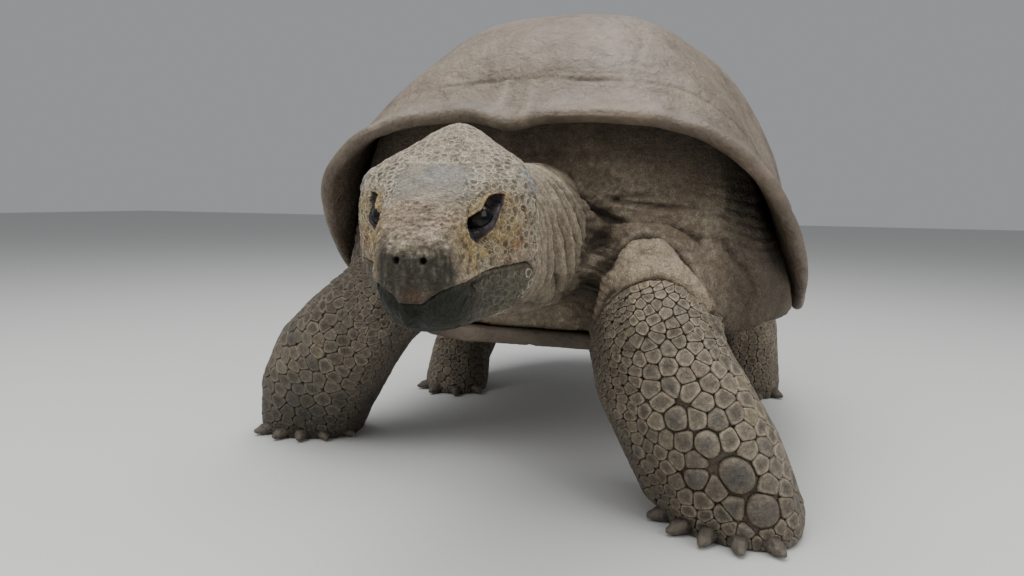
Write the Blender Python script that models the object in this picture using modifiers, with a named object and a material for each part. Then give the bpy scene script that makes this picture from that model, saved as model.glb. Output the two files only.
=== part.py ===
"""A giant tortoise, life size, standing in mid-stride with its head lowered, as a museum model.

Metres, +Z up. The tortoise faces -Y and its left side is +X. It is modelled about the middle of its
shell with the floor at z = 0, and is then moved so that the origin lies under the middle of its box.
The flesh is modelled whole, from lofts that are blended, and parted with thin cuts.
"""

import math

import bmesh
import bpy
from mathutils import Matrix, Vector

# --- driving dimensions ------------------------------------------------------------------------------
GAP = 0.0004  # between neighbouring solids

SHELL_HALF_WIDTH = 0.400
SHELL_FRONT = 0.495  # middle of the shell to the nape rim
SHELL_REAR = 0.575  # middle of the shell to the tail rim
SHELL_TOP = 0.768
SHELL_WALL = 0.016
BRIDGE_HEIGHT = 0.262  # lower edge of the shell along its flanks
ARCH_HEIGHT = 0.560  # rim over the neck
ARCH_ANGLE = math.radians(49.3)  # how far round the high front rim reaches
HIP_RISE = 0.045  # rim over each hind leg
HIP_ANGLE = math.radians(140)
FRONT_SQUARENESS = 4.4  # superellipse exponents of the rim seen from above
REAR_SQUARENESS = 2.6
CROWN_SQUARENESS = 2.02  # and of the upper dome
DOME_REACH_POWER = 2.65  # how full the dome's profile is: how far out it stays, and how fast it climbs
DOME_CLIMB_POWER = 2.05
MARGINAL_BAND = 0.17  # share of the dome's profile taken by the flared marginal plates
FLARE = 0.084  # how much wider than the dome the rim is at front and rear, as a share of its reach
FLANK_FLARE = 0.035  # and along the flanks

PLASTRON_HEIGHT = 0.222  # underside of the belly plate
PLASTRON_WALL = 0.024
PLASTRON_FRONT = 0.405
PLASTRON_REAR = 0.420
LOBE_HALF_WIDTH = 0.215
BRIDGE_RISE = 0.036  # how far the belly plate turns up along its bridges

HEAD_PLACE = Vector((0.0568, -0.901, 0.4252))  # midway between the eyes
HEAD_TURN = math.radians(7.0)  # to its left
HEAD_DIP = math.radians(12.8)
EYE_RADIUS = 0.0155
EYE_SPREAD = 0.0365  # middle of the head to the middle of each eye
EYE_AHEAD = 0.0070
EYE_LIFT = 0.0062

FORE_CLAWS = 5
FORE_CLAW_SIZE = (0.041, 0.0145, 0.0125)  # length, half width, half height
HIND_CLAWS = 4
HIND_CLAW_SIZE = (0.038, 0.0135, 0.0115)
SOLE_DEPTH = 0.03  # how far each limb is drawn below the floor before it is cut off flat

FLESH_INSET = SHELL_WALL + 0.005  # from the shell's outside to the flesh under it
FLESH_VOXEL = 0.009
FLESH_SHARE = 0.011  # share of the blended flesh's faces that is kept

RIM_STEPS = 40
DOME_STEPS = 7

# Linear colour and roughness of each finish.
SHELL_FINISH = ((0.21, 0.17, 0.135), 0.55)
PLASTRON_FINISH = ((0.16, 0.13, 0.10), 0.60)
SKIN_FINISH = ((0.14, 0.115, 0.085), 0.75)
EYE_FINISH = ((0.012, 0.010, 0.010), 0.08)
CLAW_FINISH = ((0.10, 0.085, 0.065), 0.50)


for old in list(bpy.data.objects):
    bpy.data.objects.remove(old)
parts = bpy.data.collections.new("giant_tortoise")
cutters = bpy.data.collections.new("cutters")
bpy.context.scene.collection.children.link(parts)
bpy.context.scene.collection.children.link(cutters)


# --- scene helpers -----------------------------------------------------------------------------------
def finish_material(name, finish):
    colour, roughness = finish
    made = bpy.data.materials.new(name)
    made.use_nodes = True
    shader = made.node_tree.nodes["Principled BSDF"]
    shader.inputs["Base Color"].default_value = (*colour, 1.0)
    shader.inputs["Roughness"].default_value = roughness
    shader.inputs["Metallic"].default_value = 0.0
    return made


def object_from(name, bm, collection, material=None):
    """A new object from a bmesh, its faces turned outwards. One that only cuts others stays hidden."""
    mesh = bpy.data.meshes.new(name)
    bmesh.ops.recalc_face_normals(bm, faces=bm.faces)
    bm.to_mesh(mesh)
    bm.free()
    made = bpy.data.objects.new(name, mesh)
    collection.objects.link(made)
    mesh.shade_smooth()
    if material:
        mesh.materials.append(material)
    if collection is cutters:
        made.hide_render = True
        made.display_type = "WIRE"
    return made


def baked(source, name, collection, material=None, grow=0.0, largest_only=False):
    """A clean mesh of an object as its modifiers leave it, in world coordinates, grown by grow."""
    bpy.context.view_layer.update()
    depsgraph = bpy.context.evaluated_depsgraph_get()
    bm = bmesh.new()
    bm.from_mesh(source.evaluated_get(depsgraph).to_mesh())
    bm.transform(source.matrix_world)
    bmesh.ops.triangulate(bm, faces=bm.faces)
    bmesh.ops.remove_doubles(bm, verts=bm.verts, dist=0.00001)
    bmesh.ops.dissolve_degenerate(bm, edges=bm.edges, dist=0.00001)
    bmesh.ops.triangulate(bm, faces=bm.faces)
    if largest_only:
        for crumb in islands(bm)[1:]:
            bmesh.ops.delete(bm, geom=crumb, context="VERTS")
    bm.normal_update()
    shifts = [vertex.normal * vertex.calc_shell_factor() * grow for vertex in bm.verts]
    for vertex, shift in zip(bm.verts, shifts):
        vertex.co += shift
    return object_from(name, bm, collection, material)


def islands(bm):
    """The connected sets of vertices, largest first."""
    left = set(bm.verts)
    found = []
    while left:
        waiting = [left.pop()]
        island = list(waiting)
        while waiting:
            for edge in waiting.pop().link_edges:
                for vertex in edge.verts:
                    if vertex in left:
                        left.remove(vertex)
                        island.append(vertex)
                        waiting.append(vertex)
        found.append(island)
    return sorted(found, key=len, reverse=True)


def combined(target, operation, other, name, collection, material=None):
    """The exact Boolean of two objects, as a clean mesh."""
    step = target.modifiers.new(operation.lower(), "BOOLEAN")
    step.operation = operation
    step.solver = "EXACT"
    step.object = other
    made = baked(target, name, collection, material, largest_only=True)
    target.modifiers.remove(step)
    return made


def loft(name, rings, collection, material=None):
    """A closed solid through rings of equal length, with a fan at each end."""
    bm = bmesh.new()
    rows = [[bm.verts.new(point) for point in ring] for ring in rings]
    count = len(rings[0])
    for lower, upper in zip(rows, rows[1:]):
        for i in range(count):
            j = (i + 1) % count
            bm.faces.new((lower[i], lower[j], upper[j], upper[i]))
    for row in (rows[0], rows[-1]):
        middle = bm.verts.new(sum((v.co for v in row), Vector()) / count)
        for i in range(count):
            bm.faces.new((row[i], row[(i + 1) % count], middle))
    return object_from(name, bm, collection, material)


def joined(sources, name, collection):
    """One mesh object that holds the faces of several."""
    bm = bmesh.new()
    for source in sources:
        copy = source.data.copy()
        copy.transform(source.matrix_world)
        bm.from_mesh(copy)
        bpy.data.meshes.remove(copy)
    return object_from(name, bm, collection)


def box_room(name, low, high):
    """A box from its low corner to its high corner."""
    bm = bmesh.new()
    bmesh.ops.create_cube(bm, size=1.0)
    made = object_from(name, bm, cutters)
    made.location = (Vector(low) + Vector(high)) / 2
    made.scale = Vector(high) - Vector(low)
    return made


def aimed_room(name, start, end, half_width, overrun=0.12):
    """A square beam from start towards end, and on by overrun."""
    start, end = Vector(start), Vector(end)
    aim = (end - start).normalized()
    length = (end - start).length + overrun
    bm = bmesh.new()
    bmesh.ops.create_cube(bm, size=1.0)
    made = object_from(name, bm, cutters)
    made.scale = (2 * half_width, 2 * half_width, length)
    made.rotation_mode = "QUATERNION"
    made.rotation_quaternion = aim.to_track_quat("Z", "Y")
    made.location = start + aim * length / 2
    return made


def smooth_step(value):
    held = min(max(value, 0.0), 1.0)
    return held * held * (3 - 2 * held)


def signed_power(value, exponent):
    return math.copysign(abs(value) ** exponent, value)


# --- shell -------------------------------------------------------------------------------------------
def plan_point(angle, exponent):
    """A point of the shell's outline seen from above, a superellipse."""
    across, along = math.sin(angle), math.cos(angle)
    length = SHELL_FRONT if along > 0 else SHELL_REAR
    terms = abs(across / SHELL_HALF_WIDTH) ** exponent + abs(along / length) ** exponent
    reach = terms ** (-1 / exponent)
    return Vector((reach * across, -reach * along, 0))


def rim_point(angle):
    """The carapace's lower edge at a plan angle: 0 over the neck, half a turn over the tail."""
    turn = abs(math.remainder(angle, 2 * math.pi))
    share = smooth_step((turn - math.pi / 3) / (math.pi / 3))
    rim = plan_point(angle, FRONT_SQUARENESS + (REAR_SQUARENESS - FRONT_SQUARENESS) * share)
    arch = (ARCH_HEIGHT - BRIDGE_HEIGHT) * math.exp(-((turn / ARCH_ANGLE) ** 4))
    hip = HIP_RISE * math.exp(-(((turn - HIP_ANGLE) / math.radians(26)) ** 2))
    rim.z = BRIDGE_HEIGHT + arch + hip
    return rim


def dome_point(angle, rise):
    """The carapace's outer surface, from its rim (rise 0) to its crown (rise 1)."""
    rim = rim_point(angle)
    outline = rim.lerp(plan_point(angle, CROWN_SQUARENESS), smooth_step(2 * rise))
    quarter = rise * math.pi / 2
    reach = max(math.cos(quarter), 0.0) ** (2 / DOME_REACH_POWER)
    height = math.sin(quarter) ** (2 / DOME_CLIMB_POWER)
    band = max(1 - rise / MARGINAL_BAND, 0.0) ** 2
    flare = FLANK_FLARE + (FLARE - FLANK_FLARE) * math.cos(angle) ** 2
    plan = (1 - flare) * reach + flare * band
    return Vector((outline.x * plan, outline.y * plan, rim.z + (SHELL_TOP - rim.z) * height))


def dome_normal(angle, rise):
    step = 1e-3
    low, high = max(rise - step, 0.0), min(rise + step, 1.0 - step)
    along = dome_point(angle, high) - dome_point(angle, low)
    around = dome_point(angle + step, rise) - dome_point(angle - step, rise)
    return around.cross(along).normalized()


def dome_rows(inset, lowest_rise):
    """Rows of points over the dome, from the lowest rise up, and the crown point."""
    rows = []
    for step in range(DOME_STEPS):
        rise = lowest_rise + (1 - lowest_rise) * (step / DOME_STEPS) ** 1.15
        row = []
        for turn in range(RIM_STEPS):
            angle = 2 * math.pi * turn / RIM_STEPS
            row.append(dome_point(angle, rise) - inset * dome_normal(angle, rise))
        rows.append(row)
    return rows, Vector((0, 0, SHELL_TOP - inset))


def make_carapace(material):
    rows, crown = dome_rows(0.0, 0.0)
    bm = bmesh.new()
    made = [[bm.verts.new(point) for point in row] for row in rows]
    top = bm.verts.new(crown)
    for lower, upper in zip(made, made[1:]):
        for i in range(RIM_STEPS):
            j = (i + 1) % RIM_STEPS
            bm.faces.new((lower[i], lower[j], upper[j], upper[i]))
    for i in range(RIM_STEPS):
        bm.faces.new((made[-1][i], made[-1][(i + 1) % RIM_STEPS], top))
    shell = object_from("dome", bm, cutters)
    wall = shell.modifiers.new("wall", "SOLIDIFY")
    wall.thickness = SHELL_WALL
    wall.offset = -1.0
    return baked(shell, "carapace", parts, material)


def rim_half_width(y):
    """Half the carapace's width at y, on its bridges."""
    length, exponent = (SHELL_FRONT, FRONT_SQUARENESS) if y < 0 else (SHELL_REAR, REAR_SQUARENESS)
    return SHELL_HALF_WIDTH * (1 - abs(y / length) ** exponent) ** (1 / exponent)


def plastron_half_width(y):
    """Half the belly plate's width: two lobes, with the bridges to the shell's flanks between them."""
    front = smooth_step((y + PLASTRON_FRONT + 0.07) / 0.14)
    rear = smooth_step((PLASTRON_REAR + 0.05 - y) / 0.14)
    lobe = LOBE_HALF_WIDTH * min(front, rear)
    bridge = smooth_step((y + 0.225) / 0.08) * smooth_step((0.265 - y) / 0.08)
    return lobe + (rim_half_width(y) - SHELL_WALL - 0.004 - lobe) * bridge


def plastron_floor(x):
    """Height of the belly plate's underside: flat in the middle, turned up along the bridges."""
    return PLASTRON_HEIGHT + BRIDGE_RISE * smooth_step((abs(x) - 0.21) / 0.17)


def make_plastron(shell_room, material):
    rings = []
    stations = 22
    columns = 9
    for station in range(stations + 1):
        y = -PLASTRON_FRONT + (PLASTRON_FRONT + PLASTRON_REAR) * station / stations
        half = plastron_half_width(y)
        spread = [half * (2 * column / (columns - 1) - 1) for column in range(columns)]
        under = [Vector((x, y, plastron_floor(x))) for x in spread]
        over = [Vector((x, y, plastron_floor(x) + PLASTRON_WALL)) for x in reversed(spread)]
        rings.append(under + over)
    whole = loft("plastron_whole", rings, cutters)
    return combined(whole, "DIFFERENCE", shell_room, "plastron", parts, material)


# --- flesh -------------------------------------------------------------------------------------------
def trunk_rings():
    """The flesh inside the shell, in level rings from the belly up. Its front shows under the rim.

    Along the flanks it reaches into the shell's wall, which then cuts it to fit.
    """
    rings = []
    for share in (1.0, 0.75, 0.4, 0.0):
        ring = []
        for step in range(RIM_STEPS):
            angle = 2 * math.pi * step / RIM_STEPS
            turn = abs(math.remainder(angle, 2 * math.pi))
            front = math.exp(-((turn / math.radians(48)) ** 4))
            rear = math.exp(-(((math.pi - turn) / math.radians(42)) ** 4))
            edge = dome_point(angle, 0.15) - FLESH_INSET * dome_normal(angle, 0.15)
            inner = edge * (1 - (0.07 * front + 0.12 * rear) * share)
            inner.z = edge.z + (PLASTRON_HEIGHT + PLASTRON_WALL / 2 - edge.z) * share
            rise = 0.15 * max(1 - share / 0.75, 0.01)
            outer = dome_point(angle, rise) - 0.6 * SHELL_WALL * dome_normal(angle, rise)
            point = inner.lerp(outer, (1 - front - rear) * min(share / 0.4, 1.0))
            if share == 1.0:
                point.z = plastron_floor(point.x) + PLASTRON_WALL / 2
            ring.append(point)
        rings.append(ring)
    rows, _ = dome_rows(FLESH_INSET, 0.15)
    return rings + rows[1:]


def oval(middle, across, ahead, half_width, half_depth, squareness=2.3, count=18):
    """A ring of points round middle, in the plane of the unit vectors across and ahead."""
    ring = []
    for step in range(count):
        angle = 2 * math.pi * step / count
        side = half_width * signed_power(math.cos(angle), 2 / squareness)
        front = half_depth * signed_power(math.sin(angle), 2 / squareness)
        ring.append(middle + side * across + front * ahead)
    return ring


def tube_rings(stations, facing, level_ends=0, count=18):
    """Rings along a limb, neck or tail. Each station is a middle, half width and half depth.

    The last level_ends rings lie level, as a foot does on the floor.
    """
    middles = [Vector(station[0]) for station in stations]
    rings = []
    for i, (_, half_width, half_depth) in enumerate(stations):
        before, after = middles[max(i - 1, 0)], middles[min(i + 1, len(middles) - 1)]
        along = (after - before).normalized()
        if i >= len(stations) - level_ends:
            along = Vector((0, 0, -1))
        across = along.cross(facing).normalized()
        forward = across.cross(along).normalized()
        rings.append(oval(middles[i], across, forward, half_width, half_depth, count=count))
    return rings


FORE_LEFT = (
    ((0.085, -0.240, 0.395), 0.070, 0.065),
    ((0.138, -0.345, 0.376), 0.076, 0.070),
    ((0.171, -0.408, 0.338), 0.083, 0.074),
    ((0.183, -0.430, 0.275), 0.093, 0.076),
    ((0.203, -0.437, 0.205), 0.101, 0.077),
    ((0.242, -0.440, 0.135), 0.105, 0.077),
    ((0.280, -0.442, 0.072), 0.104, 0.079),
    ((0.305, -0.443, 0.026), 0.100, 0.081),
    ((0.310, -0.443, -SOLE_DEPTH), 0.090, 0.070),
)
FORE_RIGHT = (
    ((-0.110, -0.220, 0.380), 0.070, 0.065),
    ((-0.190, -0.320, 0.330), 0.072, 0.068),
    ((-0.275, -0.350, 0.270), 0.080, 0.074),
    ((-0.346, -0.335, 0.206), 0.093, 0.078),
    ((-0.405, -0.305, 0.148), 0.105, 0.081),
    ((-0.447, -0.278, 0.090), 0.106, 0.079),
    ((-0.470, -0.258, 0.040), 0.100, 0.078),
    ((-0.477, -0.252, 0.016), 0.096, 0.078),
    ((-0.479, -0.250, -SOLE_DEPTH), 0.086, 0.068),
)
HIND_LEFT = (
    ((0.160, 0.240, 0.380), 0.075, 0.080),
    ((0.235, 0.310, 0.310), 0.082, 0.092),
    ((0.285, 0.335, 0.230), 0.080, 0.088),
    ((0.310, 0.342, 0.150), 0.072, 0.078),
    ((0.318, 0.342, 0.078), 0.069, 0.073),
    ((0.320, 0.340, 0.024), 0.073, 0.077),
    ((0.320, 0.340, -SOLE_DEPTH), 0.066, 0.070),
)
HIND_RIGHT = (
    ((-0.160, 0.250, 0.380), 0.075, 0.080),
    ((-0.230, 0.275, 0.310), 0.082, 0.092),
    ((-0.285, 0.245, 0.230), 0.078, 0.086),
    ((-0.318, 0.195, 0.150), 0.070, 0.076),
    ((-0.332, 0.155, 0.080), 0.068, 0.072),
    ((-0.334, 0.138, 0.024), 0.072, 0.076),
    ((-0.334, 0.138, -SOLE_DEPTH), 0.065, 0.069),
)
NECK = (
    ((0.000, -0.250, 0.385), 0.105, 0.105),
    ((0.000, -0.390, 0.390), 0.108, 0.110),
    ((0.003, -0.480, 0.392), 0.098, 0.106),
    ((0.010, -0.580, 0.394), 0.086, 0.100),
    ((0.020, -0.680, 0.399), 0.076, 0.093),
    ((0.032, -0.760, 0.405), 0.068, 0.086),
    ((0.042, -0.812, 0.410), 0.060, 0.076),
)
TAIL = (
    ((0.000, 0.380, 0.330), 0.050, 0.045),
    ((0.000, 0.460, 0.300), 0.044, 0.040),
    ((0.004, 0.512, 0.258), 0.034, 0.032),
    ((0.012, 0.536, 0.216), 0.025, 0.024),
    ((0.020, 0.540, 0.178), 0.016, 0.016),
    ((0.024, 0.534, 0.152), 0.009, 0.009),
)
AHEAD = Vector((0, -1, 0))
UP = Vector((0, 0, 1))
# Each leg: its stations and the way its foot points, as a turn from straight ahead.
LEGS = {
    "foreleg_left": (FORE_LEFT, math.radians(-20)),
    "foreleg_right": (FORE_RIGHT, math.radians(16)),
    "hindleg_left": (HIND_LEFT, 0.0),
    "hindleg_right": (HIND_RIGHT, 0.0),
}


def heading(turn):
    return Vector((math.sin(turn), -math.cos(turn), 0))


def make_flesh():
    """Trunk, neck, legs and tail blended into one body."""
    pieces = [
        loft("trunk_core", trunk_rings(), cutters),
        loft("neck_core", tube_rings(NECK, UP), cutters),
        loft("tail_core", tube_rings(TAIL, UP), cutters),
    ]
    for name, (stations, turn) in LEGS.items():
        pieces.append(loft(name + "_core", tube_rings(stations, heading(turn), 2), cutters))
    for piece in pieces:
        piece
    flesh = joined(pieces, "flesh_blend", cutters)
    blend = flesh.modifiers.new("blend", "REMESH")
    blend.mode = "VOXEL"
    blend.voxel_size = FLESH_VOXEL
    soften = flesh.modifiers.new("soften", "SMOOTH")
    soften.factor = 0.5
    soften.iterations = 7
    thin = flesh.modifiers.new("thin", "DECIMATE")
    thin.ratio = FLESH_SHARE
    return baked(flesh, "flesh_whole", cutters)


# --- head --------------------------------------------------------------------------------------------
# Each station of the head: distance behind the eyes, half width, height of the crown's ridge, of the
# temples beside it, of the widest line and of the underside, squareness, and the depth of the furrow
# between the crown and each temple.
HEAD_STATIONS = (
    (-0.0760, 0.0140, -0.010, -0.010, -0.028, -0.046, 2.2, 0.000),
    (-0.0715, 0.0270, 0.003, 0.003, -0.028, -0.066, 2.5, 0.000),
    (-0.0570, 0.0375, 0.017, 0.015, -0.028, -0.079, 2.8, 0.000),
    (-0.0330, 0.0455, 0.031, 0.028, -0.025, -0.089, 3.1, 0.000),
    (-0.0050, 0.0520, 0.041, 0.040, -0.022, -0.094, 3.3, 0.000),
    (0.0250, 0.0890, 0.050, 0.050, -0.018, -0.095, 3.6, 0.004),
    (0.0550, 0.0805, 0.068, 0.059, -0.014, -0.092, 3.8, 0.011),
    (0.0850, 0.0735, 0.087, 0.058, -0.010, -0.085, 3.6, 0.014),
    (0.1080, 0.0640, 0.088, 0.045, -0.006, -0.073, 2.8, 0.011),
    (0.1230, 0.0470, 0.062, 0.031, -0.002, -0.055, 2.3, 0.004),
)
CROWN_HOLLOW = 1.6  # how much the crown's flanks sink between its ridge and the temples
# The lower jaw's room seen from the side, as distance behind the eyes and height.
JAW_OUTLINE = (
    (-0.090, -0.056),
    (-0.045, -0.055),
    (0.034, -0.042),
    (0.048, -0.070),
    (0.040, -0.110),
    (-0.090, -0.110),
)


def head_matrix():
    turn = Matrix.Rotation(HEAD_TURN, 4, "Z") @ Matrix.Rotation(HEAD_DIP, 4, "X")
    return Matrix.Translation(HEAD_PLACE) @ turn


def head_ring(station, count=14):
    y, half, crown, temple, widest, bottom, squareness, furrow = station
    ring = []
    for step in range(count):
        angle = 2 * math.pi * (step + 0.5) / count
        side = signed_power(math.cos(angle), 2 / squareness)
        lift = signed_power(math.sin(angle), 2 / squareness)
        if lift > 0:
            hollow = (1 - abs(side)) ** CROWN_HOLLOW
            z = widest + (temple - widest) * lift + (crown - temple) * hollow * lift
            z -= furrow * (4 * abs(side) * (1 - abs(side))) ** 2
        else:
            z = widest + (widest - bottom) * lift
        ring.append(Vector((half * side, y, z)))
    return ring


def make_head_whole():
    cage = loft("head_cage", [head_ring(s) for s in HEAD_STATIONS], cutters)
    cage.matrix_world = head_matrix()
    round_off = cage.modifiers.new("round", "SUBSURF")
    round_off.levels = round_off.render_levels = 1
    return baked(cage, "head_whole", cutters)


def jaw_room(grow):
    """A slab that holds the lower jaw. Grown, it clears the upper jaw from it."""
    lift = (grow, grow, grow, 0, 0, 0)
    back = (0, 0, grow, grow, grow, 0)
    outline = [(y + b, z + u) for (y, z), u, b in zip(JAW_OUTLINE, lift, back)]
    rings = [[Vector((x, y, z)) for y, z in outline] for x in (-0.10, 0.10)]
    made = loft("jaw_room", rings, cutters)
    made.matrix_world = head_matrix()
    return made


def make_eye(name, side, material):
    bm = bmesh.new()
    bmesh.ops.create_uvsphere(bm, u_segments=12, v_segments=8, radius=EYE_RADIUS)
    bmesh.ops.rotate(bm, verts=bm.verts, matrix=Matrix.Rotation(math.pi / 2, 3, "Y"))
    spot = Matrix.Translation((side * EYE_SPREAD, -EYE_AHEAD, EYE_LIFT))
    bmesh.ops.transform(bm, verts=bm.verts, matrix=head_matrix() @ spot)
    return object_from(name, bm, parts, material)


# --- claws -------------------------------------------------------------------------------------------
def claw_rings(length, half_width, half_height):
    """A blunt nail that points along -Y from its root and curves down to the floor."""
    rings = []
    steps = 3
    for step in range(steps + 1):
        share = step / steps
        taper = math.sqrt(1 - 0.92 * share**2)
        middle = Vector((0, -length * share, -0.45 * half_height * share**2))
        rings.append(
            oval(middle, Vector((1, 0, 0)), UP, half_width * taper, half_height * taper, 2.2, 6)
        )
    return rings


def make_claws(foot, count, size, material):
    """Nails round the front of a foot, spread over an arc about its heading."""
    stations, turn = LEGS[foot]
    middle, half_width, half_depth = stations[-2]
    length, width, height = size
    arc = math.radians(112)
    made = []
    for i in range(count):
        fan = arc * (i / (count - 1) - 0.5)
        reach = 1 / math.hypot(math.sin(fan) / half_width, math.cos(fan) / half_depth)
        out = heading(turn + fan)
        root = Vector((middle[0], middle[1], height + 0.0012)) + out * (reach - 0.42 * length)
        claw = loft(f"{foot}_claw_{i + 1}", claw_rings(length, width, height), parts, material)
        claw.data.transform(Matrix.Translation(root) @ Matrix.Rotation(turn + fan, 4, "Z"))
        made.append(claw)
    return made


# --- assembly ----------------------------------------------------------------------------------------
def part_flesh(flesh, material):
    """Divide the flesh with thin cuts into legs, neck, tail and trunk."""
    rooms = {
        "foreleg_left": aimed_room("fore_left", (0.150, -0.340, 0.390), (0.275, -0.460, 0.0), 0.15),
        "foreleg_right": aimed_room("fore_right", (-0.185, -0.300, 0.360), (-0.490, -0.275, 0.0), 0.17),
        "hindleg_left": aimed_room("hind_left", (0.225, 0.290, 0.330), (0.320, 0.345, 0.0), 0.14),
        "hindleg_right": aimed_room("hind_right", (-0.225, 0.262, 0.325), (-0.334, 0.138, 0.0), 0.14),
        "neck": box_room("neck_room", (-0.13, -1.0, 0.2), (0.13, -0.44, 0.7)),
        "tail": box_room("tail_room", (-0.07, 0.465, 0.05), (0.07, 0.70, 0.40)),
    }
    rest = flesh
    for name, room in rooms.items():
        piece = combined(rest, "INTERSECT", room, name, parts, material)
        wide = baked(room, name + "_clear", cutters, grow=GAP)
        rest = combined(rest, "DIFFERENCE", wide, "flesh_less_" + name, cutters)
    trunk = baked(rest, "trunk", parts, material)
    return trunk


shell_material = finish_material("shell", SHELL_FINISH)
plastron_material = finish_material("plastron", PLASTRON_FINISH)
skin_material = finish_material("skin", SKIN_FINISH)
eye_material = finish_material("eye", EYE_FINISH)
claw_material = finish_material("claw", CLAW_FINISH)

carapace = make_carapace(shell_material)
shell_room = baked(carapace, "shell_room", cutters, grow=GAP)
plastron = make_plastron(shell_room, plastron_material)
plastron_room = baked(plastron, "plastron_room", cutters, grow=GAP)

head_whole = make_head_whole()
head_room = baked(head_whole, "head_room", cutters, grow=GAP)
eyes = [make_eye("eye_left", 1, eye_material), make_eye("eye_right", -1, eye_material)]
eye_rooms = baked(joined(eyes, "eyes", cutters), "eye_rooms", cutters, grow=GAP)
lower_jaw = combined(head_whole, "INTERSECT", jaw_room(0.0), "lower_jaw", parts, skin_material)
upper = combined(head_whole, "DIFFERENCE", jaw_room(GAP), "upper_head", cutters)
head = combined(upper, "DIFFERENCE", eye_rooms, "head", parts, skin_material)

claws = []
for foot in LEGS:
    fore = foot.startswith("fore")
    size = FORE_CLAW_SIZE if fore else HIND_CLAW_SIZE
    claws += make_claws(foot, FORE_CLAWS if fore else HIND_CLAWS, size, claw_material)
claw_rooms = baked(joined(claws, "claws", cutters), "claw_rooms", cutters, grow=GAP)

flesh = make_flesh()
under_floor = box_room("under_floor", (-1, -1.2, -0.5), (1, 1, 0.0))
for room in (under_floor, shell_room, plastron_room, head_room, claw_rooms):
    flesh = combined(flesh, "DIFFERENCE", room, "flesh_clear_of_" + room.name, cutters)
trunk = part_flesh(flesh, skin_material)

# Bring the middle of the whole box over the origin.
bpy.context.view_layer.update()
corners = [piece.matrix_world @ Vector(corner) for piece in parts.objects for corner in piece.bound_box]
middle_x = (min(c.x for c in corners) + max(c.x for c in corners)) / 2
middle_y = (min(c.y for c in corners) + max(c.y for c in corners)) / 2
for piece in parts.objects:
    piece.data.transform(Matrix.Translation((-middle_x, -middle_y, 0)))
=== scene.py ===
"""A life-size giant tortoise in mid-stride, dressed over its measured frame.

The carapace and the belly plate are built from the same curves as the frame's solids. One skin, drawn
over all of the frame's flesh, is folded, wrinkled and given its lids, nostrils and beak. Horny scales,
claws and eyes are pieces of their own. Lengths are in metres, +Z is up, the tortoise faces -Y and its
left side is +X.
"""

import math
from itertools import product

import bmesh
import bpy
import numpy as np
from bpy.props import FloatProperty, FloatVectorProperty, PointerProperty
from mathutils import Matrix, Vector
from mathutils.bvhtree import BVHTree
from mathutils.kdtree import KDTree


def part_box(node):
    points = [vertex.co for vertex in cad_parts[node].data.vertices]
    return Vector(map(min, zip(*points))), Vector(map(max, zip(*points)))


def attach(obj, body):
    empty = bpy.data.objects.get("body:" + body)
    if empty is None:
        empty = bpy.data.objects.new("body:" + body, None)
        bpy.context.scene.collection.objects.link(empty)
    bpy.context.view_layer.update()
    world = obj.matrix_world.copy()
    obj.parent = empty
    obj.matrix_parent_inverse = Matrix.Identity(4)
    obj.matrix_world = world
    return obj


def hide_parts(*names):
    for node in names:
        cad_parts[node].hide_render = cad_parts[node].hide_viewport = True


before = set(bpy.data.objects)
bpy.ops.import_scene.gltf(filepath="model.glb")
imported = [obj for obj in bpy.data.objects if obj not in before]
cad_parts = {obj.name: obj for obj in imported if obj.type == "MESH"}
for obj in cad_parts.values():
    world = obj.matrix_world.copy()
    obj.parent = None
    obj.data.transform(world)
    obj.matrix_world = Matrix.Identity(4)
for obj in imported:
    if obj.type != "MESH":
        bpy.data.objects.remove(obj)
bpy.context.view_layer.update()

bl_info = {
    "name": "Giant tortoise",
    "version": (1, 0, 0),
    "blender": (4, 5, 0),
    "location": "3D View > Sidebar > Tortoise",
    "description": "Dresses a measured frame as a life-size giant tortoise in mid-stride",
    "category": "Object",
}

# --- the frame's own curves --------------------------------------------------------------------------
SHELL_HALF_WIDTH = 0.400
SHELL_FRONT = 0.495
SHELL_REAR = 0.575
SHELL_TOP = 0.768
SHELL_WALL = 0.016
BRIDGE_HEIGHT = 0.262
ARCH_HEIGHT = 0.560
ARCH_ANGLE = math.radians(49.3)
HIP_RISE = 0.045
HIP_ANGLE = math.radians(140)
FRONT_SQUARENESS, REAR_SQUARENESS, CROWN_SQUARENESS = 4.4, 2.6, 2.02
DOME_REACH_POWER, DOME_CLIMB_POWER = 2.65, 2.05
MARGINAL_BAND = 0.17
FLARE, FLANK_FLARE = 0.084, 0.035
HEAD_DIP = math.radians(12.8)

FLESH = ("trunk", "neck", "head", "lower_jaw", "foreleg_left", "foreleg_right",
         "hindleg_left", "hindleg_right", "tail")
FEET = ("foreleg_left", "foreleg_right", "hindleg_left", "hindleg_right")


def middle_of(node):
    low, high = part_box(node)
    return (low + high) / 2


SHELL_LOW, SHELL_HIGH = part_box("carapace")
SHELL_MIDDLE = np.array(((SHELL_LOW.x + SHELL_HIGH.x) / 2, SHELL_LOW.y + SHELL_FRONT, 0.0))


EYE_AHEAD, EYE_LIFT = 0.0070, 0.0052  # of the eyes from the origin of the head's own axes


def head_matrix():
    """From the head's own axes (left, back and up from just behind and below the eyes) to the frame's."""
    left, right = middle_of("eye_left"), middle_of("eye_right")
    across = left - right
    turn = Matrix.Rotation(math.atan2(across.y, across.x), 4, "Z") @ Matrix.Rotation(HEAD_DIP, 4, "X")
    return Matrix.Translation((left + right) / 2) @ turn @ Matrix.Translation((0, EYE_AHEAD, -EYE_LIFT))


HEAD = np.array(head_matrix())


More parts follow.
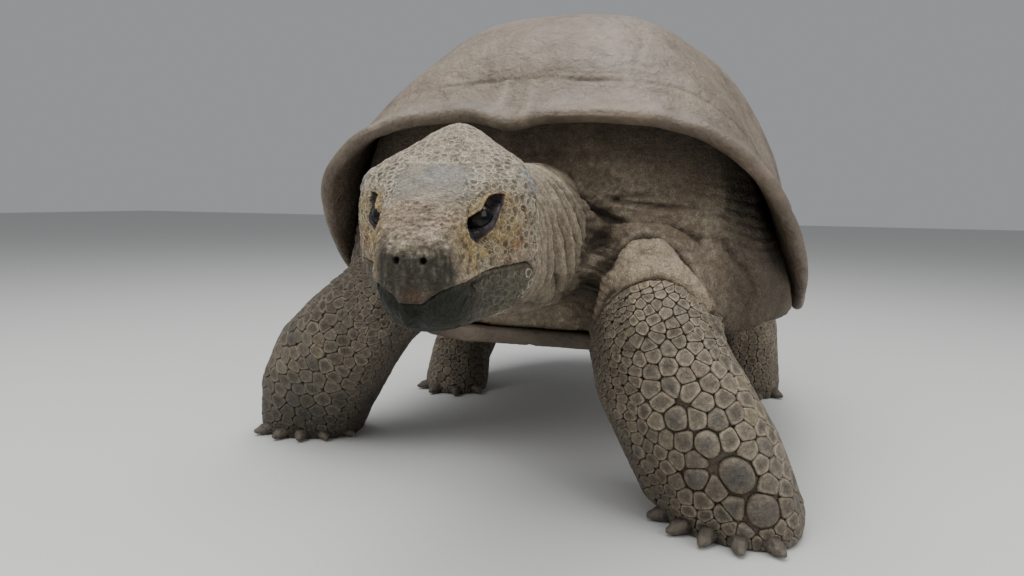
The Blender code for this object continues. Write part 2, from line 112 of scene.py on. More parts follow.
# --- number helpers ----------------------------------------------------------------------------------
def ramp(value, low, high):
    """0 at low, 1 at high, and a smooth step between them."""
    held = np.clip((value - low) / (high - low), 0.0, 1.0)
    return held * held * (3 - 2 * held)


def bell(value, middle, width):
    return np.exp(-(((value - middle) / width) ** 2))


def blend(first, second, share):
    """From one value or colour to another by share."""
    first, second, share = (np.asarray(value, float) for value in (first, second, share))
    if max(first.ndim, second.ndim) > share.ndim or (3,) in (first.shape, second.shape):
        share = share[..., None]
    return first * (1 - share) + second * share


CELL_STEPS, SEED_STEP, MIXER = (374761393, 668265263, 1442695041), 974634777, 1274126177
LOW_32, LOW_24 = 0xFFFFFFFF, 0xFFFFFF


def cell_keys(cells):
    """A whole number for each cell of space, from which scatter makes its random ones."""
    keys = sum(cells[:, k].astype(np.int64) * CELL_STEPS[k] for k in range(3))
    return (keys & LOW_32).astype(np.uint32)


def scatter(keys, step, seed):
    """A steady random number from 0 to 1 for the cell that lies a step away from each key's."""
    shift = sum(cells * size for cells, size in zip(step, CELL_STEPS)) + seed * SEED_STEP
    mixed = keys + np.uint32(shift & LOW_32)
    mixed = (mixed ^ (mixed >> 13)) * np.uint32(MIXER)
    return ((mixed ^ (mixed >> 16)) & LOW_24) / float(LOW_24)


def drift(points, size, seed, octaves=3):
    """Smooth noise from about -1 to 1, whose broadest features are size across."""
    total, weight, whole = 0.0, 1.0, 0.0
    for octave in range(octaves):
        place = points / size * 2**octave + 17.3 * seed
        cell = np.floor(place)
        part = place - cell
        part = np.ascontiguousarray((part * part * (3 - 2 * part)).T)
        keys, sides = cell_keys(cell), (1 - part, part)
        for step in product((0, 1), repeat=3):
            share = sides[step[0]][0] * sides[step[1]][1] * sides[step[2]][2]
            total = total + weight * share * (2 * scatter(keys, step, seed + octave) - 1)
        whole += weight
        weight *= 0.5
    return total / whole


def cobbles(points, size, seed):
    """Distances to the two nearest of a scatter of pebbles, in pebble sizes, and the nearest's number."""
    place = np.ascontiguousarray((points / size).T)
    cell = np.floor(place)
    keys = cell_keys(cell.T)
    near = np.full(len(points), 9.0)
    next_near = near.copy()
    number = np.zeros(len(points))
    for step in product((-1, 0, 1), repeat=3):
        spot = [cell[k] + step[k] + 0.15 + 0.7 * scatter(keys, step, seed + k) for k in range(3)]
        away = np.sqrt(sum((place[k] - spot[k]) ** 2 for k in range(3)))
        closer = away < near
        next_near = np.where(closer, near, np.minimum(next_near, away))
        number[closer] = scatter(keys[closer], step, seed + 7)
        near = np.where(closer, away, near)
    return near, next_near, number


# --- mesh helpers ------------------------------------------------------------------------------------
def points_of(mesh):
    found = np.empty(len(mesh.vertices) * 3, np.float32)
    mesh.vertices.foreach_get("co", found)
    return found.reshape(-1, 3).astype(float)


def normals_of(mesh):
    found = np.empty(len(mesh.vertices) * 3, np.float32)
    mesh.vertex_normals.foreach_get("vector", found)
    return found.reshape(-1, 3).astype(float)


def move_points(mesh, points):
    mesh.vertices.foreach_set("co", np.ascontiguousarray(points, np.float32).ravel())
    mesh.update()


def add_object(name, mesh, material=None):
    made = bpy.data.objects.new(name, mesh)
    bpy.context.scene.collection.objects.link(made)
    if material:
        mesh.materials.append(material)
    mesh.shade_smooth()
    return made


def mesh_from(name, points, faces):
    mesh = bpy.data.meshes.new(name)
    mesh.from_pydata(np.asarray(points).tolist(), [], faces)
    mesh.update()
    return mesh


def paint(mesh, colours):
    """Store a colour for each point, which the finishes read."""
    layer = mesh.color_attributes.new("markings", "FLOAT_COLOR", "POINT")
    held = np.ones((len(mesh.vertices), 4), np.float32)
    held[:, :3] = np.clip(colours, 0.0, 1.0)
    layer.data.foreach_set("color", held.ravel())


def settle(points, edges, rounds, weight=1.0, shrink=0.5, swell=-0.52):
    """Smooth by turns of shrinking and swelling, which keep the broad form."""
    count = len(points)
    links = np.bincount(edges.ravel(), minlength=count).clip(1)
    for step in range(2 * rounds):
        total = np.empty_like(points)
        for axis in range(3):
            ends = points[:, axis]
            total[:, axis] = np.bincount(edges[:, 0], ends[edges[:, 1]], count)
            total[:, axis] += np.bincount(edges[:, 1], ends[edges[:, 0]], count)
        pull = total / links[:, None] - points
        points = points + pull * (shrink if step % 2 == 0 else swell) * weight
    return points


def edges_of(mesh):
    found = np.empty(len(mesh.edges) * 2, np.int32)
    mesh.edges.foreach_get("vertices", found)
    return found.reshape(-1, 2)


def corners_of(mesh):
    """The point at each corner of each face."""
    found = np.empty(len(mesh.loops), np.int32)
    mesh.loops.foreach_get("vertex_index", found)
    return found


def lay_flat(mesh, spots):
    """Store the unwrap: a place on the unit square for each corner of each face."""
    layer = mesh.uv_layers.new(name="OFBake")
    layer.data.foreach_set("uv", spots.astype(np.float32).ravel())


def remeshed(names, voxel, grow, name):
    """One even closed surface over the solids of several nodes."""
    bm = bmesh.new()
    for node in names:
        bm.from_mesh(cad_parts[node].data)
    bmesh.ops.remove_doubles(bm, verts=bm.verts, dist=0.00001)
    bm.normal_update()
    for vertex, push in [(v, v.normal * grow) for v in bm.verts]:
        vertex.co += push
    mesh = bpy.data.meshes.new(name)
    bm.to_mesh(mesh)
    bm.free()
    made = add_object(name + "_draft", mesh)
    step = made.modifiers.new("even", "REMESH")
    step.mode = "VOXEL"
    step.voxel_size = voxel
    drawn = bpy.data.meshes.new_from_object(made.evaluated_get(bpy.context.evaluated_depsgraph_get()))
    bpy.data.objects.remove(made)
    drawn.name = name
    return drawn


def ring_faces(rows, columns, first=0):
    """Quads between rings of points, ring by ring, each ring's last point joined to its first."""
    return [
        (first + r * columns + c, first + r * columns + (c + 1) % columns,
         first + (r + 1) * columns + (c + 1) % columns, first + (r + 1) * columns + c)
        for r in range(rows - 1) for c in range(columns)
    ]


# --- finishes ----------------------------------------------------------------------------------------
def add_node(tree, kind, inputs=None, **settings):
    made = tree.nodes.new("ShaderNode" + kind)
    for key, value in settings.items():
        setattr(made, key, value)
    for key, value in (inputs or {}).items():
        if isinstance(value, bpy.types.NodeSocket):
            tree.links.new(value, made.inputs[key])
        else:
            made.inputs[key].default_value = value
    return made


def texture(tree, kind, scale, place):
    """A noise or crackle pattern in metres, from 0 to about 1."""
    if kind == "noise":
        return add_node(tree, "TexNoise", {"Vector": place, "Scale": scale, "Detail": 3.0}).outputs[0]
    links = {"Vector": place, "Scale": scale}
    return add_node(tree, "TexVoronoi", links, feature="DISTANCE_TO_EDGE").outputs["Distance"]


def finish(name, mottles, bumps, roughness, specular=0.4, coat=0.0, coat_roughness=0.3):
    """A finish whose colour is the piece's own markings under mottling, with bumps of several sizes.

    A mottle is (pattern, scale, start, end, darkest, lightest): the colour is multiplied by darkest
    where the pattern is at start and by lightest at end. A bump is (pattern, scale, start, end, height).
    """
    material = bpy.data.materials.new(name)
    material.use_nodes = True
    tree = material.node_tree
    shader = tree.nodes["Principled BSDF"]
    place = add_node(tree, "TexCoord").outputs["Object"]
    warp = add_node(tree, "TexNoise", {"Vector": place, "Scale": 45.0, "Detail": 2.0}).outputs["Color"]
    wander = add_node(tree, "VectorMath", {0: warp, 1: (0.5, 0.5, 0.5)}, operation="SUBTRACT").outputs[0]
    wander = add_node(tree, "VectorMath", {0: wander, "Scale": 0.012}, operation="SCALE").outputs[0]
    place = add_node(tree, "VectorMath", {0: place, 1: wander}, operation="ADD").outputs[0]
    colour = add_node(tree, "Attribute", attribute_name="markings").outputs["Color"]
    for kind, scale, start, end, darkest, lightest in mottles:
        pattern = texture(tree, kind, scale, place)
        level = add_node(
            tree, "MapRange",
            {"Value": pattern, "From Min": start, "From Max": end, "To Min": darkest, "To Max": lightest},
        ).outputs[0]
        colour = add_node(tree, "VectorMath", {0: colour, "Scale": level}, operation="SCALE").outputs[0]
    tree.links.new(colour, shader.inputs["Base Color"])
    normal = None
    for kind, scale, start, end, height in bumps:
        pattern = texture(tree, kind, scale, place)
        level = add_node(
            tree, "MapRange", {"Value": pattern, "From Min": start, "From Max": end}).outputs[0]
        links = {"Height": level, "Distance": height, "Strength": 1.0}
        if normal:
            links["Normal"] = normal
        normal = add_node(tree, "Bump", links).outputs[0]
    if normal:
        tree.links.new(normal, shader.inputs["Normal"])
    low, high = roughness
    wear = add_node(
        tree, "MapRange",
        {"Value": texture(tree, "noise", 60.0, place), "From Min": 0.3, "From Max": 0.7,
         "To Min": low, "To Max": high},
    ).outputs[0]
    tree.links.new(wear, shader.inputs["Roughness"])
    shader.inputs["Specular IOR Level"].default_value = specular
    shader.inputs["Coat Weight"].default_value = coat
    shader.inputs["Coat Roughness"].default_value = coat_roughness
    return material


# --- settings ----------------------------------------------------------------------------------------
def colour_of(name, description, default):
    return FloatVectorProperty(
        name=name, description=description, default=default, subtype="COLOR", min=0.0, max=1.0)


def length_of(name, description, default):
    return FloatProperty(
        name=name, description=description, default=default, subtype="DISTANCE", unit="LENGTH",
        min=0.0, precision=4)


class ShellSettings(bpy.types.PropertyGroup):
    """Sizes and colours of the carapace and the belly plate"""

    horn: colour_of("Horn", "Worn horn of the plates", (0.200, 0.155, 0.113))
    horn_pale: colour_of("Pale horn", "Rubbed and dusty horn", (0.285, 0.245, 0.200))
    horn_dark: colour_of("Dark horn", "Horn in the hollows and at the back", (0.105, 0.078, 0.054))
    # Painted shade: the inside of the shell and the underside of its brim are painted this dark colour.
    underside_shade: colour_of("Underside", "Inside of the brim", (0.050, 0.036, 0.025))
    belly: colour_of("Belly plate", "Horn of the belly plate", (0.100, 0.078, 0.055))
    seam_depth: length_of("Seam depth", "Depth of the grooves between plates", 0.0024)
    seam_width: length_of("Seam width", "Half width of the grooves", 0.0028)
    ring_spacing: length_of("Growth rings", "Distance between growth rings", 0.0065)
    ring_depth: length_of("Ring depth", "Height of the growth rings", 0.00035)


# --- carapace ----------------------------------------------------------------------------------------
def plan_point(angle, exponent):
    """A point of the shell's outline seen from above, about the shell's middle."""
    across, along = np.sin(angle), np.cos(angle)
    length = np.where(along > 0, SHELL_FRONT, SHELL_REAR)
    terms = np.abs(across / SHELL_HALF_WIDTH) ** exponent + np.abs(along / length) ** exponent
    reach = terms ** (-1 / exponent)
    return np.stack((reach * across, -reach * along), axis=-1)


def rim_point(angle):
    """The carapace's lower edge: angle 0 is over the neck, half a turn is over the tail."""
    turn = np.abs((angle + np.pi) % (2 * np.pi) - np.pi)
    share = ramp(turn, np.pi / 3, 2 * np.pi / 3)
    plan = plan_point(angle, FRONT_SQUARENESS + (REAR_SQUARENESS - FRONT_SQUARENESS) * share)
    arch = (ARCH_HEIGHT - BRIDGE_HEIGHT) * np.exp(-((turn / ARCH_ANGLE) ** 4))
    return plan, BRIDGE_HEIGHT + arch + HIP_RISE * bell(turn, HIP_ANGLE, math.radians(26))


def dome_point(angle, rise):
    """The carapace's outer surface, from its rim (rise 0) to its crown (rise 1)."""
    angle, rise = np.broadcast_arrays(np.asarray(angle, float), np.asarray(rise, float))
    plan, rim_height = rim_point(angle)
    outline = blend(plan, plan_point(angle, CROWN_SQUARENESS), ramp(rise, 0.0, 0.5))
    quarter = rise * np.pi / 2
    reach = np.cos(quarter).clip(0.0) ** (2 / DOME_REACH_POWER)
    climb = np.sin(quarter) ** (2 / DOME_CLIMB_POWER)
    band = (1 - rise / MARGINAL_BAND).clip(0.0) ** 2
    flare = FLANK_FLARE + (FLARE - FLANK_FLARE) * np.cos(angle) ** 2
    spread = (1 - flare) * reach + flare * band
    height = rim_height + (SHELL_TOP - rim_height) * climb
    place = np.concatenate((outline * spread[..., None], height[..., None]), axis=-1)
    return place + SHELL_MIDDLE


def dome_normal(angle, rise):
    step = 1e-3
    angle, rise = np.broadcast_arrays(np.asarray(angle, float), np.asarray(rise, float))
    low, high = (rise - step).clip(0.0), (rise + step).clip(0.0, 1 - step)
    along = dome_point(angle, high) - dome_point(angle, low)
    around = dome_point(angle + step, rise) - dome_point(angle - step, rise)
    normal = np.cross(around, along)
    return normal / np.linalg.norm(normal, axis=-1, keepdims=True).clip(1e-12)


def rise_at(x, y):
    """The angle and rise of the dome's point that lies over (x, y) about the shell's middle."""
    angle = np.arctan2(x, -y)
    low, high = np.zeros_like(angle), np.ones_like(angle)
    reach = np.hypot(x, y)
    for _ in range(26):
        middle = (low + high) / 2
        spot = dome_point(angle, middle) - SHELL_MIDDLE
        outside = np.hypot(spot[..., 0], spot[..., 1]) > reach
        low, high = np.where(outside, middle, low), np.where(outside, high, middle)
    return angle, (low + high) / 2


# Where each seam across the spine meets it, and half the width of the spine's plates there and at the
# widest line between. All are measured about the shell's middle, from the front.
SPINE_SEAMS = ((-0.275, 0.088), (-0.085, 0.098), (0.115, 0.096), (0.305, 0.078))
SPINE_WIDEST = ((-0.355, 0.150), (-0.180, 0.140), (0.015, 0.146), (0.210, 0.134), (0.400, 0.120))
SPINE_FRONT, SPINE_REAR = math.radians(18.5), math.radians(163)
RIB_ENDS = tuple(math.radians(a) for a in (63, 92, 123))
RIM_SEAMS = tuple(math.radians(a) for a in (3, 24, 42, 58, 72, 85, 98, 111, 125, 139, 153, 168))
NAPE_SEAM = math.radians(3)


def rim_seam_rise(angle):
    """How high up the dome the seam above the rim's plates runs."""
    return 0.160 + 0.004 * np.sin(angle) ** 2 + 0.004 * np.cos(12 * angle)


def seam_runs():
    """Every seam between the plates, as runs of dome points 1.5 mm apart, and how proud each stands."""
    runs = []

    def over_plan(corners):
        for (x0, y0), (x1, y1) in zip(corners, corners[1:]):
            share = np.linspace(0, 1, 60)
            bow = 0.006 * np.sin(np.pi * share)
            runs.append((dome_point(*rise_at(x0 + (x1 - x0) * share + bow * (y1 - y0),
                                             y0 + (y1 - y0) * share - bow * (x1 - x0))), 0.0))

    for side in (-1, 1):
        corners = []
        for k, (y, half) in enumerate(SPINE_WIDEST):
            corners.append((side * half, y))
            if k < len(SPINE_SEAMS):
                corners.append((side * SPINE_SEAMS[k][1], SPINE_SEAMS[k][0]))
        front = dome_point(side * SPINE_FRONT, rim_seam_rise(SPINE_FRONT)) - SHELL_MIDDLE
        rear = dome_point(side * SPINE_REAR, rim_seam_rise(SPINE_REAR)) - SHELL_MIDDLE
        over_plan([(front[0], front[1])] + corners + [(rear[0], rear[1])])
        for end, (y, half) in zip(RIB_ENDS, SPINE_WIDEST[1:4]):
            foot = dome_point(side * end, rim_seam_rise(end)) - SHELL_MIDDLE
            over_plan([(side * half, y), (foot[0], foot[1])])
        for angle in RIM_SEAMS:
            rises = np.linspace(0.0, 1.0, 60) * rim_seam_rise(angle)
            proud = 1.0 if angle == NAPE_SEAM else 0.0
            angle = math.radians(1.1 if side > 0 else 4.0) if proud else angle
            lean = side * (angle + 0.05 * (1 - np.linspace(0, 1, 60)) ** 2 * math.sin(angle))
            runs.append((dome_point(lean, rises), proud))
    for y, half in SPINE_SEAMS:
        over_plan([(-half, y), (half, y)])
    round_rim = np.linspace(0, 2 * np.pi, 1400)
    runs.append((dome_point(round_rim, rim_seam_rise(round_rim)), 0.0))
    return runs


def seam_distance(points):
    """How far each point is from the nearest seam, and whether that seam is a raised one."""
    runs = seam_runs()
    total = sum(len(run) - 1 for run, _ in runs) * 3
    tree = KDTree(total)
    starts, ends, raised = [], [], []
    for run, proud in runs:
        for start, end in zip(run, run[1:]):
            for share in (0.17, 0.5, 0.83):
                tree.insert(Vector(start + (end - start) * share), len(starts))
            starts.append(start)
            ends.append(end)
            raised.append(proud)
    tree.balance()
    nearest = np.array([tree.find(point)[1] for point in points.tolist()])
    starts, ends = np.array(starts)[nearest], np.array(ends)[nearest]
    run = ends - starts
    share = (np.sum((points - starts) * run, axis=1) / np.sum(run * run, axis=1)).clip(-0.3, 1.3)
    away = np.linalg.norm(points - starts - run * share[:, None], axis=1)
    return away, np.array(raised)[nearest]


def shell_material():
    return finish(
        "horn_plates",
        mottles=[("noise", 9.0, 0.35, 0.68, 0.80, 1.12), ("noise", 70.0, 0.3, 0.7, 0.84, 1.10),
                 ("noise", 420.0, 0.3, 0.7, 0.90, 1.06)],
        bumps=[("noise", 26.0, 0.2, 0.8, 0.006), ("noise", 160.0, 0.2, 0.8, 0.0016),
               ("noise", 900.0, 0.2, 0.8, 0.0004)],
        roughness=(0.40, 0.62), specular=0.42)


COLUMNS, INNER_ROWS, LIP_ROWS, OUTER_ROWS = 480, 14, 9, 182
LIP = 0.016  # rise of the rounded lip of the brim
NAPE_NOTCH = math.radians(24)  # where the brim is notched on either side of the neck
# RIDGE_PALE is the horn of the two pale ridges over the neck; CROWN_SHEEN_GREY is a painted bluish sheen on
# the top of the dome.
RIDGE_PALE, CROWN_SHEEN_GREY = (0.40, 0.345, 0.265), (0.215, 0.225, 0.235)


def carapace_rows():
    """The carapace's rings, from inside round the lip to the crown: rise, and share of the wall inwards."""
    rows = [(rise, 1.0) for rise in 1 - np.linspace(0.05, 1.0, INNER_ROWS) ** 0.7 * (1 - LIP)]
    for turn in np.linspace(np.pi, 0, LIP_ROWS + 2)[1:-1]:
        rows.append((LIP * (1 - math.sin(turn)), (1 - math.cos(turn)) / 2))
    return rows + [(rise, 0.0) for rise in LIP + (0.997 - LIP) * np.linspace(0, 1, OUTER_ROWS) ** 1.12]


def build_carapace(settings):
    columns, rows = COLUMNS, carapace_rows()
    angles = 2 * np.pi * np.arange(columns) / columns
    rises = np.array([r for r, _ in rows])[:, None]
    insets = np.array([i for _, i in rows])[:, None]
    ends = np.cos(angles) ** 2
    swollen = (0.011 * bell(rises, 0.075, 0.06) + 0.006 * bell(rises, 0.02, 0.03)) * ends
    swollen = swollen * ramp(insets, 0.5, 1.0)
    normal = dome_normal(angles, rises)
    outer = dome_point(angles, rises)
    points = outer - normal * (SHELL_WALL * insets + swollen)[..., None]
    outside = np.broadcast_to(insets < 0.35, outer.shape[:2])
    flat = outer.reshape(-1, 3)
    away, raised = np.full(len(flat), 1.0), np.zeros(len(flat))
    shown = (insets < 0.99).repeat(columns, axis=1).ravel()
    sway = np.stack([
        0.0035 * drift(flat, 0.045, seed) + 0.0012 * drift(flat, 0.011, seed + 3) for seed in (61, 71, 81)
    ], axis=1)
    away[shown], raised[shown] = seam_distance((flat + sway)[shown])
    wobble = drift(flat, 0.03, 5)
    worn = 0.35 + 0.65 * ramp(drift(flat, 0.07, 95), -0.3, 0.4)
    groove = bell(away, 0.0, settings.seam_width * (1 + 0.35 * wobble)) * (1 - raised) * worn
    ridge = bell(away, 0.0, 0.0050) * raised
    doming = 0.75 * np.exp(-away / 0.024) * (0.7 + 0.5 * drift(flat, 0.08, 91))
    rings = np.sin(2 * np.pi * away / settings.ring_spacing + 1.5 * wobble)
    rings *= np.exp(-away / 0.045) * ramp(away, 0.002, 0.008) * ramp(drift(flat, 0.16, 9), -0.5, 0.4)
    height = (
        -settings.seam_depth * groove + 0.0046 * ridge * (0.75 + 1.1 * wobble)
        - 0.0030 * doming * (1 - 0.8 * raised) + settings.ring_depth * rings
        + 0.0040 * drift(flat, 0.17, 3, 2) + 0.0011 * drift(flat, 0.035, 8)
    )
    chips = ramp(cobbles(flat, 0.05, 21)[0], 0.0, 0.25)
    height -= 0.0006 * (1 - chips) * ramp(drift(flat, 0.12, 31), 0.0, 0.5)
    height = height * outside.ravel() * (1 - ramp(rises, 0.985, 0.999)).repeat(columns, 1).ravel()
    # The brim rolls outwards in front, with a shallow hollow above it and a notch at its first seams.
    forward = np.broadcast_to(ramp(np.cos(angles), -0.1, 0.8), outer.shape[:2]).ravel()
    low = np.broadcast_to(rises, outer.shape[:2]).ravel()
    turn = np.broadcast_to(np.minimum(angles, 2 * np.pi - angles), outer.shape[:2]).ravel()
    notch = bell(turn, NAPE_NOTCH, 0.022) * (1 - ramp(low, 0.02, 0.09))
    wave = drift(flat * (1.0, 1.0, 0.0), 0.075, 93, 2) * (1 - ramp(low, 0.0, 0.10))
    height += forward * (0.0075 * bell(low, 0.0, 0.050) - 0.0015 * bell(low, 0.105, 0.035))
    height += 0.0035 * wave - 0.0060 * notch
    points = points.reshape(-1, 3) + normal.reshape(-1, 3) * height[:, None]
    sag = bell(flat[:, 0] - SHELL_MIDDLE[0], -0.014, 0.040) * (flat[:, 1] < SHELL_MIDDLE[1])
    points[:, 2] -= (0.011 * sag - 0.005 * notch) * (1 - ramp(low, 0.0, 0.11))

    faces = ring_faces(len(rows), columns)
    for row, last in ((0, False), (len(rows) - 1, True)):
        first = row * columns
        cap = [first + c for c in range(columns)]
        points = np.vstack((points, points[cap].mean(axis=0)))
        hub = len(points) - 1
        for c in range(columns):
            pair = (first + c, first + (c + 1) % columns)
            faces.append((*pair, hub) if last else (*pair[::-1], hub))
    mesh = mesh_from("carapace_horn", points, faces)

    body = np.vstack((flat, flat[:1], flat[-1:])) - SHELL_MIDDLE
    away = np.append(away, (1, 1))
    up = normals_of(mesh)[:, 2]
    # Painted shade inside the shell and under its brim, growing darker from the lip inwards.
    under = np.where(insets < 0.99, 0.35 * ramp(insets, 0.4, 1.0), 0.35 + 0.65 * ramp(rises, 0.020, 0.085))
    inside = np.append(np.broadcast_to(under, outer.shape[:2]).ravel(), (1, 0))
    rubbed = ramp(drift(body, 0.13, 41), -0.15, 0.65)
    colours = blend(settings.horn, settings.horn_pale, 0.55 * rubbed * ramp(up, 0.0, 0.7))
    colours = blend(colours, settings.horn_dark, 0.55 * ramp(drift(body, 0.09, 43), 0.05, 0.6))
    colours = blend(colours, settings.horn_dark, 0.45 * ramp(-body[:, 2], -0.52, -0.30))
    raised = np.append(raised, (0, 0))
    broken = (0.45 + 0.55 * ramp(drift(body, 0.04, 46), -0.4, 0.4)) * np.append(worn, (1, 1))
    colours = blend(colours, settings.horn_dark, 0.75 * bell(away, 0.0, 0.0028) * broken * (1 - 0.7 * raised))
    wash = bell(away, 0.007, 0.005) * ramp(drift(body, 0.05, 47), -0.2, 0.5)
    colours = blend(colours, settings.horn_pale, 0.25 * wash)
    streaks = drift(body * (1.0, 1.0, 0.35), 0.022, 48, 3)
    stained = 0.45 * ramp(streaks, 0.10, 0.55) * ramp(drift(body, 0.11, 49), -0.3, 0.4)
    colours = blend(colours, settings.horn_dark, stained)
    # Painted sheen: bluish grey on the upward-facing top of the dome, a painted reflection.
    painted_crown_sheen = 0.30 * ramp(up, 0.75, 0.98) * ramp(drift(body, 0.14, 50), -0.3, 0.5)
    colours = blend(colours, CROWN_SHEEN_GREY, painted_crown_sheen)
    on_ridge = 0.8 * bell(away, 0.0, 0.0052) * raised * (0.35 + 0.65 * broken)
    colours = blend(colours, RIDGE_PALE, on_ridge)
    colours = blend(colours, settings.underside_shade, inside)
    paint(mesh, colours)

    unwrap_dome(mesh, angles, rows)
    made = add_object("carapace_horn", mesh, shell_material())
    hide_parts("carapace")
    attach(made, "root")


LARGE_DISC, SMALL_DISC = (0.47, 0.46), (0.925, 0.0672)  # middle and radius of each on the unit square


def unwrap_dome(mesh, angles, rows):
    """Lay the outside out as a large disc, and the inside as a small one in the corner that it leaves."""
    discs = []
    for row, (rise, inset) in enumerate(rows):
        inner = row < INNER_ROWS
        middle, reach = SMALL_DISC if inner else LARGE_DISC
        radius = (1 - rise) * reach + (0.00504 if inner else 0.0)
        if not inner and inset > 0:
            radius = reach + 0.012 * inset
        discs.append(np.stack((middle + radius * np.sin(angles), middle - radius * np.cos(angles)), 1))
    hubs = [[(middle, middle)] for middle, _ in (SMALL_DISC, LARGE_DISC)]
    lay_flat(mesh, np.vstack(discs + hubs)[corners_of(mesh)])


class TORTOISE_OT_carapace(bpy.types.Operator):
    """Build the carapace with its plates, seams and growth rings"""

    bl_idname = "tortoise.carapace"
    bl_label = "Carapace"

    def execute(self, context):
        build_carapace(context.scene.tortoise_shell)
        return {"FINISHED"}


# --- belly plate -------------------------------------------------------------------------------------
BELLY_SEAMS = (-0.330, -0.245, -0.120, 0.075, 0.215, 0.330)  # across the belly, about the shell's middle


def build_plastron(settings):
    mesh = remeshed(("plastron",), 0.0052, 0.0, "plastron_horn")
    points = settle(points_of(mesh), edges_of(mesh), 14)
    move_points(mesh, points)
    normals = normals_of(mesh)
    body = points - SHELL_MIDDLE
    wander = 0.008 * drift(body, 0.12, 61, 2)
    away = np.abs(body[:, 0] + wander)
    for seam in BELLY_SEAMS:
        bow = 0.25 * np.abs(body[:, 0]) ** 1.5 * (1 if seam < 0 else -1)
        away = np.minimum(away, np.abs(body[:, 1] - seam + bow + wander))
    under = ramp(-normals[:, 2], 0.2, 0.6)
    groove = bell(away, 0.0, 0.004)
    rings = np.sin(2 * np.pi * away / 0.008) * np.exp(-away / 0.05) * ramp(away, 0.004, 0.012)
    height = under * (-0.0022 * groove + 0.0004 * rings) + 0.0015 * drift(body, 0.09, 63)
    move_points(mesh, points + normals * height[:, None])
    colours = blend(settings.belly, settings.horn_dark, 0.7 * groove * under)
    colours = blend(colours, settings.horn, 0.5 * ramp(drift(body, 0.08, 65), -0.1, 0.6))
    paint(mesh, colours)
    material = finish(
        "belly_horn",
        mottles=[("noise", 18.0, 0.3, 0.7, 0.75, 1.15), ("noise", 160.0, 0.3, 0.7, 0.88, 1.08)],
        bumps=[("noise", 60.0, 0.2, 0.8, 0.003), ("noise", 500.0, 0.2, 0.8, 0.0007)],
        roughness=(0.45, 0.70))
    made = add_object("plastron_horn", mesh, material)
    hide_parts("plastron")
    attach(made, "root")


class TORTOISE_OT_plastron(bpy.types.Operator):
    """Build the belly plate with its seams"""

    bl_idname = "tortoise.plastron"
    bl_label = "Belly plate"

    def execute(self, context):
        build_plastron(context.scene.tortoise_shell)
        return {"FINISHED"}


# --- skin --------------------------------------------------------------------------------------------
class SkinSettings(bpy.types.PropertyGroup):
    """Sizes and colours of the skin of the body"""

    skin: colour_of("Skin", "Leathery skin", (0.200, 0.158, 0.110))
    skin_pale: colour_of("Pale skin", "Dry and dusty skin on crests", (0.400, 0.338, 0.248))
    # painted_shade is a dark skin colour that is blended in as painted shade: in folds, under the brim, on
    # the flanks, on undersides and on inner sides.
    painted_shade: colour_of("Dark skin", "Skin in folds and under the shell", (0.036, 0.027, 0.019))
    fineness: length_of("Fineness", "Width of the coarsest faces of the skin", 0.0080)
    coat_depth: length_of("Coat depth", "How far the skin lies inside the frame under scales", 0.0026)
    neck_fold: length_of("Neck folds", "Distance between the folds of the neck", 0.0360)
    neck_fold_depth: length_of("Neck fold depth", "Depth of the folds of the neck", 0.0095)


class HeadSettings(bpy.types.PropertyGroup):
    """Colours of the head"""

    crown: colour_of("Crown", "Skin of the crown and cheeks", (0.270, 0.215, 0.150))
    pale: colour_of("Pale skin", "Dry edges of the head's small scales", (0.560, 0.490, 0.370))
    plate: colour_of("Frontal plate", "Smooth plate between the eyes", (0.225, 0.212, 0.178))
    ochre: colour_of("Ochre", "Ochre round the eyes and on the cheeks", (0.400, 0.275, 0.082))
    orange: colour_of("Orange", "Rusty patches on the cheeks", (0.290, 0.135, 0.045))
    horn: colour_of("Beak", "Dark horn of the beak and snout", (0.018, 0.018, 0.012))
    jaw: colour_of("Lower jaw", "Dark green horn of the lower jaw", (0.011, 0.013, 0.008))
    lid: colour_of("Lower lids", "Slate violet of the lower lids", (0.011, 0.008, 0.017))
    temple: colour_of("Temple", "Pale plate at each temple", (0.270, 0.270, 0.280))


# The middle line of each limb about the shell's middle, from where it leaves the body to its sole.
LIMB_LINES = {
    "foreleg_left": ((0.171, -0.408, 0.338), (0.183, -0.430, 0.275), (0.203, -0.437, 0.205),
                     (0.242, -0.440, 0.135), (0.280, -0.442, 0.072), (0.312, -0.443, -0.010)),
    "foreleg_right": ((-0.190, -0.320, 0.330), (-0.275, -0.350, 0.270), (-0.346, -0.335, 0.206),
                      (-0.405, -0.305, 0.148), (-0.447, -0.278, 0.090), (-0.480, -0.250, -0.010)),
    "hindleg_left": ((0.235, 0.300, 0.300), (0.285, 0.330, 0.220), (0.310, 0.342, 0.150),
                     (0.318, 0.342, 0.078), (0.320, 0.340, -0.010)),
    "hindleg_right": ((-0.235, 0.275, 0.300), (-0.290, 0.240, 0.220), (-0.318, 0.195, 0.150),
                      (-0.332, 0.155, 0.080), (-0.334, 0.130, -0.010)),
}
# How far down each limb the fold lies from which its scales start.
SCALE_START = {"foreleg_left": 0.026, "foreleg_right": 0.070, "hindleg_left": 0.125, "hindleg_right": 0.120}

GAZE = np.array((0.820, -0.563, 0.100))  # of the left eye, on the head's axes
LID_RUN = np.array((0.481, 0.776, 0.407))  # from the front corner of the left eye to its back corner
NOSTRIL = (0.0105, -0.0755, -0.0120)
FRONTAL_REAR = 0.019  # back edge of the smooth plate between the eyes
TEMPLE = (0.0690, 0.0420, 0.0255)  # middle of the plate at the left temple
LID_BALL, LID_EDGE = 0.0179, 0.0172  # radius of the lids' own curve, and how far from the gaze it is kept
UPPER_LID, LOWER_LID, DARK_LID = 0.0102, 0.0032, 0.0122  # heights of the lids' edges from the corners' line
LID_DROP = 0.0075  # how far the skin sinks between the lids, behind the eyeball's face


def on_head(points):
    """Points on the head's own axes."""
    return (points - HEAD[:3, 3]) @ HEAD[:3, :3]


